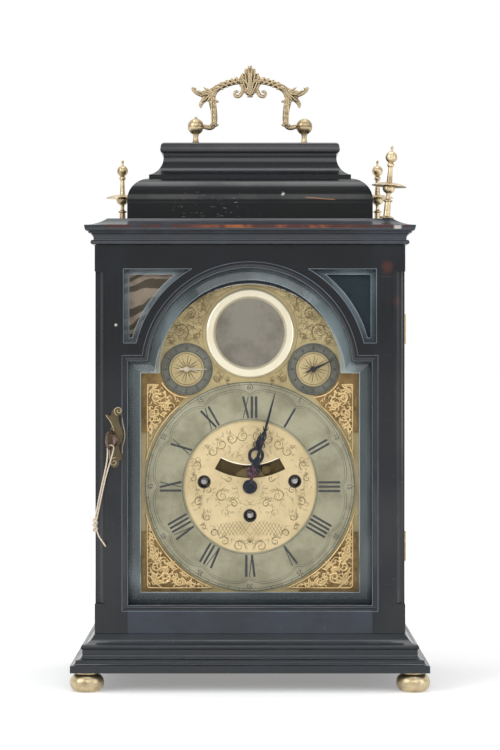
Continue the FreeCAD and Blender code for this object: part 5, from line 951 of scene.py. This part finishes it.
def upper_mount():
    """The foliage of the upper right corner, cut back for the small ring."""
    strokes = [
        ([(78.5, 259), (84, 259.2), (88.4, 259.2), (88.4, 259.1), (88.4, 230), (88.4, 196.5)],
         [0.5, 0.7, 0.7, 0.5]),
        arc(0, HANDS, CORNER_REACH, 75.5, 41.5, 0.75, 12),
        arc(SMALL_RING, SUBSIDIARY, 24.2, 118, 180, 0.6, 8),
        spiral(80.5, 247.5, 5.2, -60, 1.3, 1), spiral(83.4, 233.5, 4, -20, 1.2, 0.9),
        spiral(73, 241, 3.6, 60, -1.2, 0.8), spiral(85.5, 220.5, 2.7, -10, 1.1, 0.7),
    ]
    strokes += plume(85, 255.5, 215, 60, 6, 9.5, 40, 0.85)
    strokes += plume(73.5, 243, 230, 60, 5, 7, 40, 0.75)
    for share in range(8):
        z = 240 - 5.2 * share
        strokes.append(frond(87.4, z, 212, 7.2 - 0.55 * share, 34, 0.75 - 0.03 * share))
        strokes.append(frond(81 + 0.7 * share, z + 1, 176, 5.6 - 0.4 * share, -45, 0.62))
    return strokes + scattered(5, 110, (60, 87.6, 196, 258.4), in_upper_corner, 4.6, 0.6)


foliage = tracery("corner_foliage", both_sides(lower_mount()) + both_sides(upper_mount()), -62.1, 1, 1, 4)
kept(casting(foliage, 0.4, 1), foliage_gilt, "case", "cast_brass")

# ---------------------------------------------------------------- figures on the dial

# Each letter's width and its bars: where foot and head are from its middle, and half the thickness.
LETTERS = {
    "I": (3.7, [(0, 0, 1.06)]),
    "V": (6.4, [(0.2, -2.1, 1.06), (0.3, 2.4, 0.42)]),
    "X": (6.8, [(2.3, -2.3, 1.06), (-2.2, 2.2, 0.42)]),
}


def roman(text, hour):
    """An hour numeral with its feet to the centre, in thick and thin strokes."""
    strokes = []
    across = -sum(LETTERS[letter][0] for letter in text) / 2
    for letter in text:
        width, bars = LETTERS[letter]
        middle = across + width / 2
        for foot, head, half in bars:
            strokes.append(([(middle + foot, 58.9), (middle + head, 77.6)], [half, half]))
        across += width
    return set_round(strokes, 30 * hour)


NUMERALS = ["I", "II", "III", "IIII", "V", "VI", "VII", "VIII", "IX", "X", "XI", "XII"]
numerals = [stroke for hour, text in enumerate(NUMERALS, 1) for stroke in roman(text, hour)]
kept(tracery("hour_numerals", numerals, CHAPTER_FRONT, 0.07, 1, 2), wax_black, "case", "silvered_brass")


def figure(text, size, reach, degrees, centre_x, centre_z, depth):
    """A small figure on a ring, its feet to the ring's centre."""
    pick_none()
    bpy.ops.object.text_add(location=(0, 0, 0), rotation=(math.radians(90), 0, 0))
    letters = bpy.context.object
    letters.data.body = text
    letters.data.size = size * MM
    letters.data.align_x = "CENTER"
    letters.data.align_y = "CENTER"
    letters.data.extrude = 0.03 * MM
    letters.data.resolution_u = 3
    bpy.ops.object.convert(target="MESH")
    settled(bpy.context.object)
    x, z = around(centre_x, centre_z, reach, degrees)
    return shaped(
        bpy.context.object,
        (bpy.ops.transform.rotate, {"value": -math.radians(degrees), "orient_axis": "Y",
                                    "center_override": (0, 0, 0)}),
        (bpy.ops.transform.translate, {"value": (x * MM, depth * MM, z * MM)}),
    )


minutes = [figure(str(5 * n), 5.4, 85.4 if n < 12 else 85.2, 30 * n, 0, HANDS, CHAPTER_FRONT)
           for n in range(1, 13)]
kept(joined("minute_figures", minutes), wax_black, "case", "silvered_brass")

small_figures = []
for middle, texts in ((-SMALL_RING, NUMERALS), (SMALL_RING, [str(5 * n) for n in range(1, 13)])):
    for n, text in enumerate(texts, 1):
        small_figures.append(figure(text, 3, 18.1, 30 * n, middle, SUBSIDIARY, SMALL_RING_FRONT))
kept(joined("small_ring_figures", small_figures), wax_black, "case", "silvered_brass")

# ---------------------------------------------------------------- engraving on the dial plate

def in_centre_field(x, z):
    reach = math.hypot(x, z - HANDS)
    slot = math.hypot(x, z - SLOT)
    holes = all(math.hypot(x - hole_x, z - hole_z) > 8 for hole_x, hole_z in WINDING_HOLES)
    lattice = x < 30 and 128 < z < 144
    return 9 < reach < 54 and not (50.5 < slot < 66 and x < 33) and holes and not lattice


def in_arch_field(x, z):
    clear = math.hypot(x, z - BOSS) > 41 and math.hypot(x - SMALL_RING, z - SUBSIDIARY) > 24
    return clear and math.hypot(x, z - HANDS) > 92 and math.hypot(x, z - 274) < 79


def centre_engraving():
    """The right half of the scrolls, leaves and lattice inside the chapter ring."""
    cuts = []
    for degrees, size, way in ((8, 4.6, 1), (21, 4.3, -1), (34, 4.4, 1), (47, 4, -1)):
        x, z = around(0, HANDS, 44, degrees)
        cuts.append(spiral(x, z, 1.2 * size, degrees + 90 * way, 1.15 * way, 0.27))
        cuts.append(arc(x, z, 0.85 * size, degrees - 60, degrees + 110, 0.16, 8))
        cuts += plume(*around(x, z, 4.6, degrees), degrees, 66, 4, 3.6, 40, 0.17)
    for x, z, size, start, turns in ((46, 190, 4.2, 200, 1.3), (49, 178, 3.6, 20, -1.3),
                                     (24, 163, 6.4, 300, 1.5), (36, 168, 4, 120, -1.4),
                                     (44, 158, 4.6, 330, 1.3), (14, 156.5, 4, 60, -1.4),
                                     (37, 145, 4.2, 20, 1.3), (9.5, 119.6, 6, 250, 1.4),
                                     (22, 124, 4.6, 60, -1.3), (31, 131, 4.2, 240, 1.3),
                                     (40, 136, 3, 60, -1.2), (18, 178, 3, 90, 1.2)):
        cuts.append(spiral(x, z, size, start, turns, 0.22))
        cuts.append(spiral(x, z, size * 1.28, start, turns * 0.62, 0.16))
        cuts += plume(x, z + size, start - 60, 55, 4, size * 0.9, 40, 0.15)
    for x in range(5):
        for z in range(3):
            cuts += plume(50 - 1.5 * x, 196 - 9 * x - 3 * z, 200, 40, 3, 3, 30, 0.14)
    for step in range(9):
        low_x = 4 + 3.4 * step
        cuts.append(([(low_x - 4, 129), (low_x + 6 - 0.8 * step, 142 - 0.5 * step)], [0.13, 0.13]))
        cuts.append(([(low_x + 3 - 0.6 * step, 129.5), (low_x - 7, 142.5 - 0.4 * step)], [0.13, 0.13]))
    cuts += plume(0.3, 122.5, 20, 20, 4, 7.5, 6, 0.2)
    return cuts + scattered(11, 170, (1, 54, 118, 225), in_centre_field, 4.4, 0.15)


def arch_engraving():
    """The right half of the engraving round the boss."""
    cuts = []
    for x, z, size, start, turns in ((60, 305, 8, 200, 1.6), (51, 320, 5.4, 30, -1.4),
                                     (68, 296.5, 4, 60, -1.3), (44, 332, 4.8, 210, 1.3),
                                     (33, 341, 4, 40, -1.3), (22, 346.5, 3.2, 220, 1.2),
                                     (72.5, 283, 2.6, 200, 1.2), (28, 264, 3.6, 40, 1.4),
                                     (19, 262, 2.4, 220, -1.2), (46, 300, 3.4, 300, 1.2)):
        cuts.append(spiral(x, z, size, start, turns, 0.26))
        cuts.append(spiral(x, z, size * 1.22, start, turns * 0.6, 0.18))
        cuts += plume(x, z, start + 150, 70, 6, size * 1.5, 40, 0.2)
    for n in range(26):
        heading = 14 + 2.6 * n
        cuts.append(frond(*around(0, BOSS, 44.5, heading), heading + 30, 4.2, -50, 0.17))
    cuts.append(arc(0, BOSS, 41, 0, 150, 0.16, 20))
    return cuts + scattered(13, 240, (12, 80, 262, 350), in_arch_field, 5.5, 0.19)


def rosette(x, z):
    cuts = [ring(x, z, 13.6, 0.2), ring(x, z, 2.2, 0.2, 10)]
    for n in range(8):
        cuts += [frond(x, z, 45 * n, 12.4, 14, 0.34), frond(x, z, 45 * n + 12, 10.6, 26, 0.2),
                 frond(x, z, 45 * n - 12, 10.6, -26, 0.2)]
    return cuts


dial_cuts = both_sides(centre_engraving() + arch_engraving())
dial_cuts += rosette(-SMALL_RING, SUBSIDIARY) + rosette(SMALL_RING, SUBSIDIARY)
kept(tracery("dial_engraving", dial_cuts, DIAL, 0.18, 0, 4), cut_brown, "case", "dial_brass")

slot_edge = tracery("bright_slot_edge", [arc(0, SLOT, 52.3, 151.8, 208.2, 0.7, 14)], DIAL, 0.3, 1, 4)
kept(slot_edge, bezel_gilt, "case", "dial_brass")

# ---------------------------------------------------------------- the hands

def turning_parts(node, cut_at):
    """The pipe and wheel of a hand, without its blade."""
    return shaped(
        merged_copy(node + "_pipe", node),
        (bpy.ops.mesh.bisect, {"plane_co": (0, cut_at * MM, 0), "plane_no": (0, -1, 0),
                               "clear_outer": True, "use_fill": True}),
    )


def boss_ring(major, minor, depth, flat):
    """A domed collar round the centre of the dial."""
    centre = (0, depth * MM, HANDS * MM)
    return shaped(torus(major, minor, (56, 16), centre, (math.radians(90), 0, 0)),
                  (bpy.ops.transform.resize, {"value": (1, flat, 1), "center_override": centre}))


def hand(name, node, strokes, turn, front, collars):
    """A pierced hand in front of its own pipe and wheel."""
    blade = tracery(name + "_blade", set_round(strokes, turn), front + 0.4, 0.32, 1, 6)
    whole = joined(name, [blade, turning_parts(node, front + 0.9)] + collars)
    return kept(smooth(whole, 35), blued, node, "blued_steel", node)


hour_blade = [([(0, 4), (0, 9), (0, 14), (0, 20)], [1.5, 1.2, 2, 1]),
              ring(0, 26.4, 6.1, 0.85),
              ([(0, 32.4), (0, 38), (0, 47.5)], [1.3, 1.3, 0.25])] + both_sides([
    ([(0, 11.5), (3.4, 10.6), (6, 13.6), (4.2, 16.4), (2.4, 14.8)], [1.1, 1.4, 1.3, 1, 0.7]),
    ([(0, 19.5), (2.2, 18.6), (3.4, 16.8)], [1, 0.8, 0.4]),
    ([(0.2, 33.2), (3, 34), (4.6, 37.2), (3.2, 39.6), (1.8, 38)], [0.8, 0.6, 0.55, 0.5, 0.35]),
    ([(0.2, 38), (2.4, 41), (0.6, 44)], [0.8, 0.55, 0.4]),
])
hand("hour_hand_pierced", "hour_hand", hour_blade, HOUR_TURN, HOUR_HAND, [boss_ring(4.1, 2.1, -63.3, 0.22)])

minute_blade = [([(0, 4), (0, 24), (0, 40)], [1, 0.8, 0.8]),
                ([(0, 49.5), (0, 55), (0, 84)], [1, 1.7, 0.22])] + both_sides([
    ([(0, 39), (2.8, 42.5), (2.6, 46), (0, 50)], [0.8, 0.65, 0.65, 0.8]),
    ([(0.4, 39.6), (3.6, 38.4), (4, 35.8), (2.4, 35.4)], [0.7, 0.55, 0.45, 0.35]),
    ([(0.2, 49.5), (2.4, 51.4), (2, 53.6)], [0.7, 0.5, 0.3]),
])
collars = [boss_ring(3.2, 1.7, -65.5, 0.3), boss_ring(1.15, 1.15, -66.2, 0.55)]
hand("minute_hand_pierced", "minute_hand", minute_blade, MINUTE_TURN, MINUTE_HAND, collars)

# ---------------------------------------------------------------- painted edge highlights, holes and the key plate

def opening_line(grow, thick):
    """Strokes round the arched opening of the door, drawn out by an amount."""
    width, low, shoulder, radius = 103.2 + grow, 72.1 - grow, 278.5 + grow, 87 + grow
    reach = math.sqrt(radius * radius - (shoulder - ARCH) * (shoulder - ARCH))
    lean = math.degrees(math.atan2(reach, shoulder - ARCH))
    side = [([(width, low), (width, shoulder)], [thick, thick]),
            ([(width, shoulder), (reach, shoulder)], [thick, thick])]
    return both_sides(side) + [([(-width, low), (width, low)], [thick, thick]),
                               arc(0, ARCH, radius, -lean, lean, thick, 40)]


def pane_line(margin, thick):
    """Strokes round the right corner pane."""
    side, low, high, radius = 107.6 - margin, 294.6 + margin, 357.7 - margin, 99.7 + margin
    near = math.sqrt(radius * radius - (high - ARCH) * (high - ARCH))
    far = math.sqrt(radius * radius - (low - ARCH) * (low - ARCH))
    start, end = math.degrees(math.atan2(near, high - ARCH)), math.degrees(math.atan2(far, low - ARCH))
    return [([(side, low), (side, high)], [thick, thick]), ([(side, high), (near, high)], [thick, thick]),
            arc(0, ARCH, radius, start, end, thick, 16), ([(far, low), (side, low)], [thick, thick])]


# Painted highlights round the door's opening and corner panes, and along the glass bevels.
wood_lines = opening_line(5.6, 0.24) + both_sides(pane_line(0, 0.34))
for name, strokes, depth, relief, finish, slot in (
        ("painted_edge_highlights", wood_lines, FRONT, 0.5, edge_highlight, "wood"),
        ("moulding_edge", opening_line(0.9, 0.26), FRONT + 1.35, 0.6, edge_highlight, "wood"),
        ("bevel_edge", opening_line(-9.4, 0.16), GLASS, 0.4, arris_highlight, "plate_glass"),
        ("pane_bevel_edges", both_sides(pane_line(4.5, 0.14)), PANES, 0.4, arris_highlight, "plate_glass")):
    kept(tracery(name, strokes, depth, relief, 1, 4), finish, "front_door", slot)

plate_low, plate_high = [corner * 1000 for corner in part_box("back_plate")]


def in_back_plate(x, z):
    return 3 < x < plate_high.x - 5 and plate_low.z + 6 < z < plate_high.z - 6


back_cuts = scattered(17, 200, (3, plate_high.x, plate_low.z, plate_high.z), in_back_plate, 8, 0.26)
for step in range(5):
    height = plate_low.z + 14 + step * (plate_high.z - plate_low.z - 28) / 4
    back_cuts.append(spiral(0.62 * plate_high.x, height, 9, 90 * step, 1.5, 0.4))
    back_cuts.append(spiral(0.28 * plate_high.x, height + 7, 6, 60 * step, -1.4, 0.36))
side, low, high = plate_high.x - 3, plate_low.z + 3, plate_high.z - 3
border = ([(2, low), (side, low)], [(2, high), (side, high)], [(side, low), (side, high)])
back_cuts = both_sides(back_cuts + [(line, [0.3, 0.3]) for line in border])
kept(tracery("back_plate_engraving", back_cuts, plate_high.y, 0.14, 0, 4), cut_brown, "case",
     "movement_brass")

rims = [ring(x, z, 5.35, 0.55, 28) for x, z in WINDING_HOLES]
kept(tracery("winding_hole_rims", rims, DIAL, 0.4, 1, 4), wax_black, "case", "dial_brass")

scrolls = [spiral(-111.7, 237, 4.3, 200, 1.35, 0.42), spiral(-115.6, 193.4, 4.2, 20, -1.25, 0.4),
           ([(-122.6, 233.4), (-119.6, 230), (-116.2, 224.6), (-115.8, 220)], [0.35, 0.35, 0.3]),
           ([(-108.6, 231), (-107.6, 224), (-105.8, 218), (-106.6, 211), (-109, 206),
             (-108.4, 201)], [0.3, 0.35, 0.35, 0.3]),
           ([(-119.4, 206), (-119.6, 200), (-118.8, 196)], [0.3, 0.35, 0.3])]
kept(tracery("key_plate_scrolls", scrolls, KEY_PLATE, 0.7, 1, 5), rubbed_brass, "front_door", "hinge_brass")

# The lining behind the corner panes stands a little back from the glass, so that light reaches it.
corner_lining = shaped(merged_copy("corner_lining", "corner_linings"),
                       (bpy.ops.transform.translate, {"value": (0, 0.3 * MM, 0)}))
kept(corner_lining, lining, "front_door", "aged_lining", "corner_linings")
